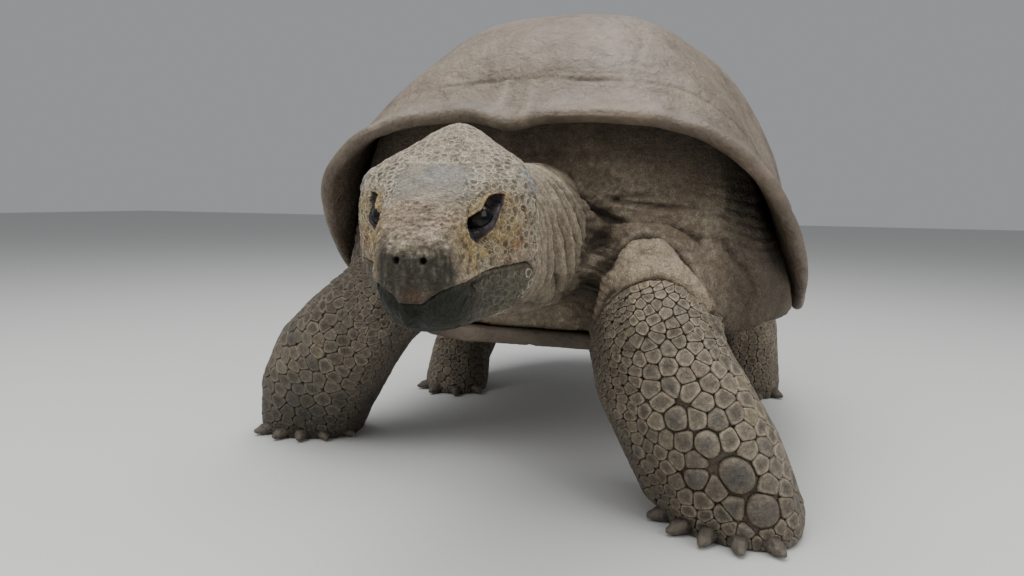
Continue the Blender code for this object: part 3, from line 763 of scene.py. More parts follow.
def limb_place(body, line):
    """How far along a limb's line each point lies, and its offset from that line."""
    best = np.full(len(body), 1e9)
    along = np.zeros(len(body))
    offset = np.zeros_like(body)
    passed = 0.0
    for start, end in zip(line, line[1:]):
        start, run = np.array(start), np.array(end) - np.array(start)
        length = np.linalg.norm(run)
        share = ((body - start) @ run / length**2).clip(-0.5 if passed == 0 else 0.0, 1.0)
        apart = body - start - share[:, None] * run
        gap = np.linalg.norm(apart, axis=1)
        closer = gap < best
        best = np.where(closer, gap, best)
        along = np.where(closer, passed + share * length, along)
        offset = np.where(closer[:, None], apart, offset)
        passed += length
    return along, offset


def flesh_numbers(points):
    """The number of the flesh node that each point lies on."""
    corners, faces, owners = [], [], []
    for number, node in enumerate(FLESH):
        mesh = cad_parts[node].data
        first = len(corners)
        corners += [vertex.co.copy() for vertex in mesh.vertices]
        faces += [[first + k for k in face.vertices] for face in mesh.polygons]
        owners += [number] * len(mesh.polygons)
    tree = BVHTree.FromPolygons(corners, faces)
    found = [tree.find_nearest(point)[2] for point in points.tolist()]
    return np.array(owners)[found]


def refine(mesh, wanted):
    """Split each face whose middle is wanted into four."""
    middles = np.empty(len(mesh.polygons) * 3, np.float32)
    mesh.polygons.foreach_get("center", middles)
    picked = np.flatnonzero(wanted(middles.reshape(-1, 3).astype(float)))
    bm = bmesh.new()
    bm.from_mesh(mesh)
    bm.faces.ensure_lookup_table()
    edges = {edge for k in picked.tolist() for edge in bm.faces[k].edges}
    bmesh.ops.subdivide_edges(bm, edges=list(edges), cuts=1, use_grid_fill=True)
    bm.to_mesh(mesh)
    bm.free()
    mesh.update()


def hidden_share(points):
    """1 where the skin lies deep under the shell."""
    body = points - SHELL_MIDDLE
    plan, rim_height = rim_point(np.arctan2(body[:, 0], -body[:, 1]))
    inside = 1 - np.hypot(body[:, 0], body[:, 1]) / np.hypot(plan[:, 0], plan[:, 1])
    return ramp(body[:, 2] - rim_height, 0.03, 0.06) * ramp(inside, 0.03, 0.10)


def lid_frame(side):
    """The middle of an eye on the head's axes, its gaze, and the run and rise of its lids."""
    flip = np.array((side, 1.0, 1.0))
    gaze = GAZE * flip / np.linalg.norm(GAZE)
    run = LID_RUN * flip
    run = run - gaze * (run @ gaze)
    run /= np.linalg.norm(run)
    rise = np.cross(gaze, run) * side
    eye = on_head(np.array([middle_of("eye_left" if side > 0 else "eye_right")]))[0]
    return eye, gaze, run, rise


def lid_lines(along):
    """Heights of the edges of the upper and the lower lid and of the foot of the dark lid below."""
    corner = 0.0035 * ramp(along, -0.005, 0.029)
    share = (1 - ((along - 0.004) / 0.025) ** 2).clip(0.0)
    fore = along < -0.004
    blunt = (np.abs(along + 0.004) / np.where(fore, 0.0215, 0.031)).clip(0.0, 1.0)
    foot = (1 - blunt ** np.where(fore, 4.0, 1.6)) ** 0.7
    bow = np.where(fore, (1 - blunt**4) ** 0.6, share**0.75)
    return corner + UPPER_LID * bow, corner - LOWER_LID * share, corner - DARK_LID * foot, share


def mouth_height(q):
    """Height of the line between the beak and the lower jaw, on the head's axes."""
    hook = bell(q[:, 0], 0.0, 0.017) * ramp(-q[:, 1], 0.050, 0.068)
    corner = ramp(q[:, 1], 0.016, 0.040)
    return -0.0365 - 0.003 * ramp(q[:, 1], -0.02, 0.015) - 0.013 * hook - 0.018 * corner


def temple_gap(q):
    """How far each point lies from the middle of the oval plate at the temple."""
    return np.sqrt((q[:, 1] - TEMPLE[1]) ** 2 + ((q[:, 2] - TEMPLE[2]) / 1.25) ** 2)


def frontal_edge(q):
    """How far each point lies behind the edge of the smooth plate between the eyes."""
    return q[:, 1] - FRONTAL_REAR - 7.0 * q[:, 0] ** 2


def shape_head(q, normal):
    """Heights to add to the head, and points with the lids drawn round the eyes, on the head's axes."""
    share = 1 - ramp(q[:, 1], 0.095, 0.130)
    side = np.abs(q[:, 0])
    height = 0.0008 * drift(q, 0.016, 101)
    # Snout: nostrils, the twin ridges under them, and the hooked edge of the beak.
    nostril = np.sqrt(((side - NOSTRIL[0]) / 0.8) ** 2 + (q[:, 2] - NOSTRIL[2]) ** 2)
    front = ramp(-q[:, 1], 0.058, 0.068)
    height += front * (0.0012 * bell(nostril, 0.0052, 0.0022) - 0.0058 * (1 - ramp(nostril, 0.0012, 0.0034)))
    beak = front * ramp(-q[:, 2], 0.017, 0.022)
    height += 0.0031 * beak * bell(side, 0.0095, 0.0034) - 0.0014 * beak * bell(side, 0.0, 0.0038)
    height += 0.0012 * front * drift(q * (1.0, 1.0, 0.4), 0.0050, 105, 2)
    line = q[:, 2] - mouth_height(q)
    mouth = 1 - ramp(q[:, 1], 0.038, 0.046)
    height += mouth * (-0.0034 * bell(line, 0.0, 0.00115) + 0.0016 * bell(line, 0.0045, 0.0035))
    height -= mouth * 0.0022 * bell(line, -0.0040, 0.0045) * ramp(-q[:, 1], 0.00, 0.03)
    # Crease behind the jaw.
    crease = q[:, 1] - 0.052 + 0.35 * (q[:, 2] + 0.055)
    low = ramp(-q[:, 2], 0.050, 0.062)
    height -= 0.0030 * bell(crease, 0.0, 0.0022) * low
    # The smooth plate between the eyes, with its raised edge, and the plate at the temple.
    edge = frontal_edge(q)
    top = ramp(normal[:, 2], 0.35, 0.65) * ramp(q[:, 1], -0.045, -0.025)
    height += top * (0.0011 * bell(edge, 0.0, 0.0020) - 0.0007 * bell(edge, 0.0050, 0.0022))
    temple = temple_gap(q)
    lateral = ramp(side, 0.050, 0.060)
    height += lateral * (0.0022 * (1 - ramp(temple, 0.006, 0.0125)) - 0.0012 * bell(temple, 0.0135, 0.0018))
    # Fine wrinkles: across the bridge of the nose, and down the cheeks.
    bridge = ramp(-q[:, 1], 0.020, 0.035) * (1 - ramp(-q[:, 1], 0.062, 0.070)) * ramp(normal[:, 2], 0.2, 0.6)
    across = drift(q * (0.30, 1.0, 0.6), 0.0024, 111, 2)
    down = drift(q * (1.0, 1.0, 0.22), 0.0022, 113, 2)
    cheek = ramp(side, 0.020, 0.035) * ramp(line, 0.001, 0.006) * (1 - ramp(q[:, 2], 0.00, 0.02))
    pebbled = cobbles(q + 0.0012 * drift(q, 0.01, 117)[:, None], 0.0052, 119)
    pebble = ramp(pebbled[1] - pebbled[0], 0.02, 0.22)
    smooth_plate = top * (1 - ramp(edge, -0.002, 0.001))
    horny = (1 - ramp(line, -0.002, 0.0)) * (1 - ramp(q[:, 1], -0.015, 0.025))
    height += 0.0009 * (1 - pebble) * (1 - smooth_plate) * (1 - horny) * (1 - front)
    rough = (1 - 0.75 * smooth_plate) * (1 - 0.85 * horny) * (1 - 0.6 * front * (line < 0.02))
    height += 0.00120 * across * bridge + 0.00110 * down * cheek
    height += 0.00045 * (pebble - 1) * horny + 0.00040 * drift(q, 0.0021, 121, 2) * rough

    shifted = q.copy()
    for way in (1, -1):
        eye, gaze, run, rise = lid_frame(way)
        away = q - eye
        out, along, up = away @ gaze, away @ run, away @ rise
        ring = np.hypot(along * 0.86, up)
        near = (out > -0.004) & (ring < 0.040)
        lid = np.sqrt(LID_BALL**2 - np.minimum(ring, LID_EDGE) ** 2)
        hinder = ramp(along, -0.004, 0.010)
        hold = 1 - ramp(ring, 0.0120 - 0.0085 * hinder, 0.0235 + 0.0015 * hinder)
        raised = blend(out, lid, hold)
        raised += 0.0016 * bell(up, 0.0175, 0.006) * (1 - ramp(np.abs(along), 0.016, 0.030))
        upper, lower, _, span = lid_lines(along)
        gap = np.minimum(upper - up, up - lower)
        outside = np.maximum(up - upper, lower - up)
        opened = ramp(gap, -0.0004, 0.0009)
        raised -= LID_DROP * opened * (1 - 0.70 * ramp(ring, 0.014, 0.024))
        raised += 0.0011 * bell(outside, 0.0012, 0.0012) * (1 - opened) * (span > 0)
        crinkle = drift(q * (1.0, 0.6, 1.0), 0.0040, 125, 2)
        raised += 0.0007 * crinkle * (1 - opened) * ramp(ring, 0.008, 0.016)
        below = lower - up
        above = up - upper
        reach = 1 - ramp(np.abs(along), 0.019, 0.028)
        raised -= reach * (0.0010 * bell(above, 0.0058, 0.0011) + 0.0009 * bell(below, 0.0042, 0.0008))
        raised -= reach * (0.0012 * bell(below, 0.0080, 0.0012) + 0.0008 * bell(above, 0.0110, 0.0013))
        change = (raised - out) * near * (1 - ramp(ring, 0.030, 0.040))
        shifted += change[:, None] * gaze
        quiet = 1 - ramp(ring, 0.010, 0.018)
        height = height * (1 - quiet * (out > 0))
    return shifted, height * share


# Creases of the slack skin of a shoulder, about the shell's middle, with their depth and half width.
SHOULDER_CREASES = (
    (((0.064, -0.430, 0.486), (0.074, -0.442, 0.470), (0.085, -0.448, 0.456), (0.092, -0.434, 0.445),
      (0.102, -0.422, 0.432), (0.116, -0.415, 0.421),
      (0.139, -0.414, 0.414), (0.176, -0.414, 0.411), (0.207, -0.410, 0.408), (0.226, -0.401, 0.402),
      (0.243, -0.395, 0.392)), 0.0140, 0.0050),
    (((0.118, -0.415, 0.412), (0.110, -0.434, 0.392), (0.101, -0.452, 0.374), (0.094, -0.470, 0.352)),
     0.0100, 0.0046),
    (((0.100, -0.420, 0.440), (0.133, -0.412, 0.450), (0.167, -0.410, 0.451), (0.192, -0.409, 0.449)),
     0.0042, 0.0030),
    (((0.124, -0.413, 0.447), (0.156, -0.411, 0.441), (0.183, -0.409, 0.437), (0.237, -0.396, 0.436)),
     0.0055, 0.0032),
    (((0.137, -0.425, 0.404), (0.166, -0.430, 0.402), (0.198, -0.430, 0.396), (0.221, -0.420, 0.392)),
     0.0060, 0.0026),
    (((0.243, -0.396, 0.381), (0.262, -0.389, 0.388), (0.276, -0.383, 0.387), (0.287, -0.377, 0.376),
      (0.296, -0.372, 0.360), (0.312, -0.362, 0.342), (0.322, -0.355, 0.318), (0.313, -0.359, 0.296)),
     0.0045, 0.0050),
)


def crease_distance(points, line):
    """How far points lie from a line of corners, how far along it, and whether they lie below it."""
    line = np.array(line)
    gap, share, below = np.full(len(points), 9.0), np.zeros(len(points)), np.zeros(len(points), bool)
    middle, half = (line.min(axis=0) + line.max(axis=0)) / 2, np.ptp(line, axis=0) / 2
    close = np.flatnonzero((np.abs(points - middle) < half + 0.04).all(axis=1))
    for k, (start, end) in enumerate(zip(line, line[1:])):
        run = end - start
        part = ((points[close] - start) @ run / (run @ run)).clip(0, 1)
        apart = points[close] - start - part[:, None] * run
        away = np.linalg.norm(apart, axis=1)
        nearer = close[away < gap[close]]
        chosen = away < gap[close]
        gap[nearer], share[nearer] = away[chosen], (k + part[chosen]) / (len(line) - 1)
        below[nearer] = apart[chosen, 2] < 0
    return gap, share, below


# The outline of the left upper arm's dome, about the shell's middle.
ARM_DOME = ((0.092, -0.428, 0.285), (0.100, -0.442, 0.318), (0.114, -0.450, 0.347), (0.133, -0.452, 0.369),
            (0.150, -0.450, 0.387), (0.169, -0.447, 0.398), (0.190, -0.447, 0.397), (0.214, -0.448, 0.383),
            (0.232, -0.449, 0.363), (0.249, -0.448, 0.338), (0.262, -0.447, 0.310), (0.270, -0.445, 0.280))


def fold_line(phase, sharpness=0.65):
    """Rounded crests with sharp creases between them, from -1 in a crease to 0 on a crest."""
    return np.abs(np.sin(np.pi * phase)) ** sharpness - 1


def shape_body(body, normal, owner, settings):
    """Heights to add to the neck, shoulders, limbs and tail."""
    q = on_head(body + SHELL_MIDDLE)
    behind = ramp(q[:, 1], 0.085, 0.135)
    side = np.abs(body[:, 0])
    height = 0.0022 * drift(body, 0.06, 131) + 0.0007 * drift(body, 0.014, 133, 2)
    pebbled = cobbles(body + 0.002 * drift(body, 0.02, 135)[:, None], 0.0085, 137)
    height += 0.0007 * (ramp(pebbled[1] - pebbled[0], 0.0, 0.25) - 1)
    # Neck: close folds that slope back as they go down, and loose lengthwise folds under the throat.
    neck = behind * (1 - ramp(body[:, 1], -0.475, -0.425)) * (1 - ramp(side, 0.12, 0.16))
    phase = (body[:, 1] * 0.83 + body[:, 2] * 0.55) / settings.neck_fold
    phase += 0.85 * drift(body, 0.10, 141, 2) + 0.30 * drift(body, 0.035, 143, 2)
    depth = settings.neck_fold_depth * (0.6 + 0.6 * ramp(drift(body, 0.06, 145), -0.4, 0.5))
    hanging = neck * (1 - 0.7 * ramp(-normal[:, 2], 0.4, 0.8)) * (1 - 0.6 * ramp(normal[:, 2], 0.5, 0.9))
    height += hanging * depth * fold_line(phase, 0.55)
    finer = 2.7 * phase + 0.5 * drift(body, 0.04, 149, 2)
    height += hanging * 0.0034 * fold_line(finer, 0.6) * ramp(drift(body, 0.04, 150), -0.5, 0.3)
    throat = neck * ramp(-normal[:, 2], 0.25, 0.75)
    height += throat * 0.0055 * fold_line(body[:, 0] / 0.026 + 0.5 * drift(body, 0.08, 147, 2) + 0.5)
    # Shoulders: slack skin that hangs in a few long creases, smoother towards the brim and the flank.
    mirrored = body * (np.sign(body[:, :1]) * (1, 0, 0) + (0, 1, 1))
    front = (1 - ramp(body[:, 1], -0.33, -0.25)) * (1 - 0.7 * neck) * ramp(side, 0.052, 0.072)
    for crease, deep, wide in SHOULDER_CREASES:
        gap, share, below = crease_distance(mirrored, crease)
        taper = np.sin(np.pi * (0.12 + 0.80 * share)) ** 0.6
        height -= front * taper * deep * bell(gap, 0.0, wide)
        height += front * taper * 0.45 * deep * bell(gap, 2.6 * wide, 1.8 * wide) * np.where(below, 1.0, 0.35)
    slack = front * ramp(body[:, 2], 0.34, 0.38) * (1 - ramp(body[:, 2], 0.44, 0.50))
    drape = body[:, 2] + 0.15 * (side - 0.19) + 0.006 * drift(body, 0.08, 151, 2)
    height += slack * 0.0028 * fold_line(drape / 0.0155 + 0.5 * drift(body, 0.05, 154), 0.7)
    cracked = cobbles(body + 0.004 * drift(body, 0.03, 156)[:, None], 0.019, 158)
    cracked = (ramp(cracked[1] - cracked[0], 0.0, 0.16) - 1) * (1 - ramp(body[:, 2], 0.46, 0.50))
    height += front * 0.0012 * cracked
    # The dome of the left foreleg's upper arm stands out in front of the shoulder.
    rim_gap, _, _ = crease_distance(body, ARM_DOME)
    height -= 0.0165 * bell(rim_gap, 0.0, 0.0066)
    before = ramp(-body[:, 1], 0.440, 0.458)
    height += 0.0050 * bell(rim_gap, 0.017, 0.010) * before
    # Armpit: a bundle of deep creases between the neck and the foreleg.
    pit = bell(side, 0.105, 0.035) * bell(body[:, 1], -0.43, 0.07) * bell(body[:, 2], 0.33, 0.10)
    height -= 0.010 * pit
    height += 0.004 * pit * fold_line((body[:, 2] + 0.5 * side) / 0.013 + 0.5 * drift(body, 0.04, 155))
    scaled = np.zeros(len(body))
    for name, line in LIMB_LINES.items():
        mine = owner == FLESH.index(name)
        if name.startswith("fore"):
            mine = mine | (owner == FLESH.index("trunk")) & (np.abs(body[:, 0] - line[0][0]) < 0.2)
        mine = np.flatnonzero(mine)
        along, offset = limb_place(body[mine], line)
        spot = body[mine]
        held = limb_hold(offset, spot)
        start = SCALE_START[name]
        wave = 0.006 * drift(spot, 0.07, 161, 2)
        fold = along - start + wave + limb_arch(name, offset)
        if name.startswith("fore"):
            strong = 1.0 if name.endswith("left") else 0.45
            change = strong * (0.0045 * bell(fold, -0.016, 0.016) - 0.0075 * bell(fold, 0.0, 0.0042))
        else:
            change = 0.0050 * fold_line((along + 2 * wave) / 0.028, 0.5) * (1 - ramp(fold, -0.02, 0.01))
        height[mine] += change * held
        covered = ramp(fold, -0.002, 0.006) * (owner[mine] == FLESH.index(name)) * held
        scaled[mine] = np.maximum(scaled[mine], covered)
        height[mine] -= settings.coat_depth * covered * ramp(spot[:, 2], 0.002, 0.012)
    tail = owner == FLESH.index("tail")
    scaled = np.where(tail, 1.0, scaled)
    # Hips and flanks: slack folds.
    rear = ramp(body[:, 1], 0.02, 0.15) * (owner == FLESH.index("trunk"))
    height += rear * 0.0060 * fold_line(body[:, 2] / 0.035 + 0.8 * drift(body, 0.12, 163, 2), 0.5)
    sole = 1 - ramp(body[:, 2], 0.0015, 0.006)
    return height * behind * (1 - sole), scaled


def limb_hold(offset, spot):
    """1 on the limb's own column, 0 on the part of the body it grows from."""
    reach = np.linalg.norm(offset, axis=1)
    return 1 - ramp(reach - 0.10 * ramp(-spot[:, 2], -0.26, -0.14), 0.100, 0.118)


ARCH_MIDDLE = 0.012  # how far outside a foreleg's line the fold over its scales is highest


def limb_arch(name, offset):
    """How much lower the fold over the scales lies at the sides of a foreleg than at its middle."""
    if not name.startswith("fore"):
        return 0.0
    aside = offset[:, 0] - ARCH_MIDDLE
    return -np.where(aside > 0, 9.5, 5.5) * aside**2 * (1 if "left" in name else 0.4)


# Tints that mark the skin here and there, over the colours of the settings. Some are painted light and shade:
# the lit arm dome, the shade in wrinkles, mouth and nostrils, the highlights on the beak, the sheen on the
# frontal plate and the glints on the lids.
SKIN_RUST, ARM_PALE_AND_LIT, UNDER_SCALES = (0.150, 0.095, 0.055), (0.450, 0.365, 0.260), (0.060, 0.048, 0.036)
WRINKLE_SHADE, CHEEK_DARK, BRIDGE_TAN = (0.075, 0.056, 0.040), (0.040, 0.030, 0.018), (0.370, 0.255, 0.175)
PLATE_DARK, PLATE_SHEEN_BLUE = (0.110, 0.095, 0.075), (0.235, 0.235, 0.270)
BEAK_HIGHLIGHT, BEAK_TIP = (0.150, 0.142, 0.128), (0.150, 0.085, 0.045)
JAW_OLIVE, JAW_GREEN = (0.070, 0.064, 0.043), (0.125, 0.122, 0.076)
MOUTH_SHADE, NOSTRIL_SHADE, WET_GLINT = (0.012, 0.010, 0.008), (0.008, 0.007, 0.006), (0.30, 0.30, 0.38)


def skin_markings(points, normal, scaled, settings, head):
    """The colours of the skin, which its scales share."""
    body = points - SHELL_MIDDLE
    q = on_head(points)
    side = np.abs(q[:, 0])
    mottle = drift(body, 0.045, 171)
    fine = drift(body, 0.008, 173, 2)
    colours = blend(settings.skin, settings.skin_pale, 0.55 * ramp(mottle + 0.6 * fine, -0.3, 0.8))
    colours = blend(colours, SKIN_RUST, 0.45 * ramp(drift(body, 0.09, 175), 0.0, 0.7))
    cells = cobbles(body + 0.003 * drift(body, 0.02, 191)[:, None], 0.0115, 193)
    net = 1 - ramp(cells[1] - cells[0], 0.02, 0.20)
    colours = blend(colours, settings.skin_pale, 0.42 * net * ramp(mottle + fine, -0.6, 0.5))
    # The neck is paler: partly dry dusty skin, partly painted light, as on parts lit from above.
    neck = (1 - ramp(body[:, 1], -0.475, -0.425)) * (1 - ramp(np.abs(body[:, 0]), 0.11, 0.15))
    colours = blend(colours, settings.skin_pale, 0.62 * neck * (0.6 + 0.4 * ramp(fine, -0.5, 0.5)))
    # The dome of the upper arm is paler: partly dry dusty skin, partly painted light on its lit top.
    dome = ramp(-body[:, 1], 0.434, 0.452) * ramp(body[:, 2], 0.27, 0.31) * ramp(body[:, 0], 0.085, 0.105)
    colours = blend(colours, ARM_PALE_AND_LIT, 0.70 * dome)
    # Painted shade on the flanks, in the pockets under the sides of the shell.
    flank = ramp(np.abs(body[:, 0]), 0.255, 0.310) * ramp(body[:, 2], 0.20, 0.27)
    flank = flank * ramp(-body[:, 1], 0.2, 0.3)
    colours = blend(colours, settings.painted_shade, 0.60 * flank)
    plan, rim_height = rim_point(np.arctan2(body[:, 0], -body[:, 1]))
    reach = np.hypot(plan[:, 0], plan[:, 1]) - np.hypot(body[:, 0], body[:, 1])
    shade = ramp(body[:, 2] - rim_height, -0.12, 0.02) * ramp(reach, 0.0, 0.06)
    colours = blend(colours, settings.painted_shade, 0.80 * shade)
    # Painted shade on skin that faces down.
    colours = blend(colours, settings.painted_shade, 0.35 * ramp(-normal[:, 2], 0.1, 0.8))
    colours = blend(colours, UNDER_SCALES, 0.62 * scaled)
    # Painted shade on inward-facing skin low down, chiefly the inner sides of the limbs.
    inner = ramp(-np.sign(body[:, 0]) * normal[:, 0], 0.2, 0.9) * ramp(-body[:, 2], -0.30, -0.2)
    colours = blend(colours, settings.painted_shade, 0.5 * inner)

    h = 1 - ramp(q[:, 1], 0.100, 0.150)
    line = q[:, 2] - mouth_height(q)
    edge = frontal_edge(q)
    blotch = drift(q, 0.012, 181)
    speck = drift(q, 0.0035, 183, 2)
    cells = cobbles(q + 0.0012 * drift(q, 0.01, 117)[:, None], 0.0052, 119)
    network = 1 - ramp(cells[1] - cells[0], 0.02, 0.20)
    face = blend(head.crown, head.pale, 0.55 * ramp(blotch * 0.7 + speck, -0.2, 0.9))
    face = face * (0.80 + 0.36 * cells[2])[:, None]
    face = blend(face, head.pale, 0.42 * network * ramp(speck + blotch, -0.8, 0.4))
    # Painted shade in the fine furrows across the bridge of the nose.
    furrow = drift(q * (0.28, 1.0, 0.6), 0.0030, 111, 2)
    bridge = ramp(-q[:, 1], 0.012, 0.030) * (1 - ramp(side, 0.030, 0.040))
    face = blend(face, WRINKLE_SHADE, 0.55 * bridge * ramp(-furrow, 0.05, 0.5))
    top = ramp(normal[:, 2], 0.3, 0.6)
    plate = top * (1 - ramp(edge, -0.004, 0.001)) * ramp(q[:, 1], -0.040, -0.018)
    plate *= 1 - ramp(side + 0.004 * blotch, 0.034, 0.050)
    face = blend(face, head.plate, plate * (0.45 + 0.4 * ramp(blotch, -0.5, 0.4)))
    face = blend(face, PLATE_DARK, 0.45 * plate * ramp(speck - 0.4 * blotch, 0.1, 0.6))
    # Painted sheen: a bluish patch on the top of the smooth plate, a painted reflection.
    plate_sheen = bell(q[:, 0], 0.010, 0.016) * bell(q[:, 1], 0.004, 0.014) * top
    face = blend(face, PLATE_SHEEN_BLUE, 0.50 * plate_sheen * ramp(speck, -0.5, 0.3))
    face = blend(face, head.pale, 0.55 * bell(edge, 0.0, 0.0016) * top * (1 - ramp(side, 0.030, 0.050)))
    tan = top * bell(q[:, 1], -0.045, 0.016)
    face = blend(face, BRIDGE_TAN, 0.55 * tan * ramp(blotch, -0.6, 0.4))
    # Ochre round the eyes and down the cheek in front of them, warmer behind.
    ochre_share = np.zeros(len(q))
    lid_share, painted_glint_share = np.zeros(len(q)), np.zeros(len(q))
    for way in (1, -1):
        eye, gaze, run, rise = lid_frame(way)
        away = q - eye
        out, along, up = away @ gaze, away @ run, away @ rise
        ring = np.hypot(along * 0.72, up)
        outward = out > -0.006
        reach = ring + 0.005 * blotch + 0.004 * speck + 0.35 * up.clip(-0.02, 0.0) + 0.30 * up.clip(0.0, 0.02)
        halo = ramp(ring, 0.006, 0.010) * (1 - ramp(reach, 0.019, 0.034)) * outward
        ochre_share = np.maximum(ochre_share, halo)
        upper, lower, foot, span = lid_lines(along)
        ragged = 0.0009 * speck
        lid = ramp(upper + 0.0010 + ragged - up, -0.0004, 0.0010) * ramp(up - foot + ragged, -0.0012, 0.0012)
        lid_share = np.maximum(lid_share, lid * (np.abs(along - 0.002) < 0.0275) * outward)
        # Painted glints: pale lines along the wet edge of each lower lid, and a spot at its front corner.
        glint = bell(up - lower + 0.0014, 0.0, 0.0006) + 0.5 * bell(up - lower + 0.0042, 0.0, 0.0006)
        glint = glint * (span > 0.25) + 0.9 * bell(along, -0.0205, 0.0022) * bell(up, -0.0035, 0.0035)
        painted_glint_share = np.maximum(painted_glint_share, glint * outward * ramp(speck, -0.2, 0.5))
    cheek = bell(q[:, 1] + 0.25 * (q[:, 2] + 0.01), -0.047, 0.0105) * ramp(side, 0.022, 0.034)
    cheek *= (1 - ramp(q[:, 2], 0.008, 0.026)) * ramp(line, 0.000, 0.012)
    ochre_share = np.maximum(ochre_share, 0.95 * cheek * ramp(blotch + 0.6 * speck, -0.8, 0.3))
    warm = bell(q[:, 1], 0.010, 0.020) * bell(q[:, 2], -0.020, 0.012) * ramp(side, 0.045, 0.055)
    face = blend(face, head.orange, 0.75 * warm * ramp(blotch, -0.5, 0.3))
    ochre = blend(head.ochre, head.orange, ramp(drift(q, 0.02, 187), 0.0, 0.7) * 0.6)
    streak = drift(q * (1.0, 1.0, 0.3), 0.0030, 189, 2)
    face = blend(face, ochre, ochre_share * (0.34 + 0.50 * ramp(speck + 0.8 * streak, -0.5, 0.6)))
    sides = ramp(side, 0.026, 0.040) * ramp(line, 0.000, 0.006) * (1 - ramp(q[:, 1], 0.05, 0.09))
    face = blend(face, CHEEK_DARK, 0.62 * sides * ramp(-streak - 0.5 * speck, 0.05, 0.55))
    # Dark horn of the snout, beak and lower jaw.
    fray = 0.006 * blotch + 0.004 * speck + 0.003 * streak
    snout = ramp(-q[:, 1] - 0.7 * (side - 0.016).clip(0) + fray, 0.042, 0.060)
    snout *= 1 - ramp(q[:, 2] + fray, -0.013, 0.004)
    face = blend(face, head.horn, 0.90 * snout * (1 - 0.25 * ramp(streak, 0.0, 0.6)))
    # Painted highlights along the twin ridges under the nostrils.
    ridge = snout * ramp(-q[:, 2], 0.018, 0.024) * bell(side, 0.0095, 0.004) * ramp(streak, -0.6, 0.4)
    face = blend(face, BEAK_HIGHLIGHT, 0.40 * ridge)
    tip = bell(q[:, 2], -0.040, 0.006) * bell(q[:, 0], 0.003, 0.012) * ramp(-q[:, 1], 0.06, 0.068)
    face = blend(face, BEAK_TIP, 0.6 * tip)
    jaw = (1 - ramp(line, -0.003, 0.001)) * (1 - ramp(q[:, 1], 0.010, 0.050))
    rearward = ramp(q[:, 1] + 2 * fray, -0.054, -0.020)
    face = blend(face, JAW_OLIVE, 0.75 * jaw)
    face = blend(face, head.jaw, 0.92 * jaw * (1 - 0.80 * rearward))
    face = blend(face, head.jaw, 0.45 * jaw * ramp(-line, 0.012, 0.026))
    green = jaw * ramp(blotch, -0.1, 0.7) * ramp(q[:, 1], -0.04, 0.01)
    face = blend(face, JAW_GREEN, 0.5 * green)
    # Painted shade in the slit of the mouth.
    parting = bell(line, 0.0, 0.0011) * (1 - ramp(q[:, 1], 0.04, 0.05))
    face = blend(face, MOUTH_SHADE, 0.85 * parting)
    # Painted shade in the holes of the nostrils.
    nostril = np.sqrt((side - NOSTRIL[0]) ** 2 + (q[:, 2] - NOSTRIL[2]) ** 2)
    hole = (1 - ramp(nostril, 0.0022, 0.0036)) * ramp(-q[:, 1], 0.06, 0.066)
    face = blend(face, NOSTRIL_SHADE, hole)
    temple = temple_gap(q)
    face = blend(face, head.temple, 0.7 * (1 - ramp(temple, 0.006, 0.013)) * ramp(side, 0.05, 0.06))
    face = blend(face, head.lid, 0.92 * lid_share)
    face = blend(face, WET_GLINT, 0.45 * painted_glint_share)
    return blend(colours, face, h), lid_share * h


HEAD_PART = 20  # the number of the head and jaw as one part
HEAD_ENLARGED = 2.6  # the head gets more of the unwrap than its size


def unwrap_by_parts(mesh, points, normal, owner):
    """Lay the skin out part by part, each seen from its six sides and given a box of its own."""
    q = on_head(points)
    body = points - SHELL_MIDDLE
    face_start = np.empty(len(mesh.polygons), np.int32)
    face_size = face_start.copy()
    mesh.polygons.foreach_get("loop_start", face_start)
    mesh.polygons.foreach_get("loop_total", face_size)
    corner = corners_of(mesh)
    face_of = np.repeat(np.arange(len(face_start)), face_size)
    key_point = corner[face_start]
    head_side = normal @ HEAD[:3, :3]
    is_head = (owner == FLESH.index("head")) | (owner == FLESH.index("lower_jaw"))
    facing = np.where(is_head[:, None], head_side, normal)[key_point]
    axis = np.argmax(np.abs(facing), axis=1)
    way = (np.take_along_axis(facing, axis[:, None], 1)[:, 0] > 0).astype(int)
    part = np.where(is_head, HEAD_PART, owner)[key_point]
    chart = part * 6 + axis * 2 + way  # the part, and which of its six sides
    spots = np.zeros((len(corner), 2))
    boxes = []
    for number in np.unique(chart):
        loops = np.flatnonzero((chart == number)[face_of])
        on_the_head = number >= HEAD_PART * 6
        source = q if on_the_head else body
        keep = [k for k in range(3) if k != (number % 6) // 2]
        flat = source[corner[loops]][:, keep]
        size = HEAD_ENLARGED if on_the_head else 1.0
        low = flat.min(axis=0)
        spots[loops] = (flat - low) * size
        boxes.append((number, loops, (flat.max(axis=0) - low) * size))
    boxes.sort(key=lambda item: -item[2][1])
    total = sum(extent[0] * extent[1] for _, _, extent in boxes)
    width = math.sqrt(total) * 1.12
    x = y = tallest = 0.0
    margin = 0.012
    for _, loops, extent in boxes:
        if x + extent[0] > width:
            x, y, tallest = 0.0, y + tallest + margin, 0.0
        spots[loops] += (x, y)
        x += extent[0] + margin
        tallest = max(tallest, extent[1])
    spots = spots / max(width + margin, y + tallest + margin) * 0.996 + 0.002
    lay_flat(mesh, spots)


def skin_material():
    return finish(
        "skin",
        mottles=[("noise", 120.0, 0.3, 0.7, 0.74, 1.20), ("noise", 700.0, 0.3, 0.7, 0.72, 1.22),
                 ("crackle", 260.0, 0.0, 0.22, 0.72, 1.05)],
        bumps=[("crackle", 150.0, 0.0, 0.30, 0.0007), ("noise", 380.0, 0.2, 0.8, 0.0011),
               ("noise", 1300.0, 0.2, 0.8, 0.00035)],
        roughness=(0.55, 0.80), specular=0.30)


under_scales = {}  # the bare skin and the flesh that each of its points lies on, once the skin is built
OVERLAP = 0.0012  # the flesh's nodes are swollen by this to join into one, and the skin is drawn back by it


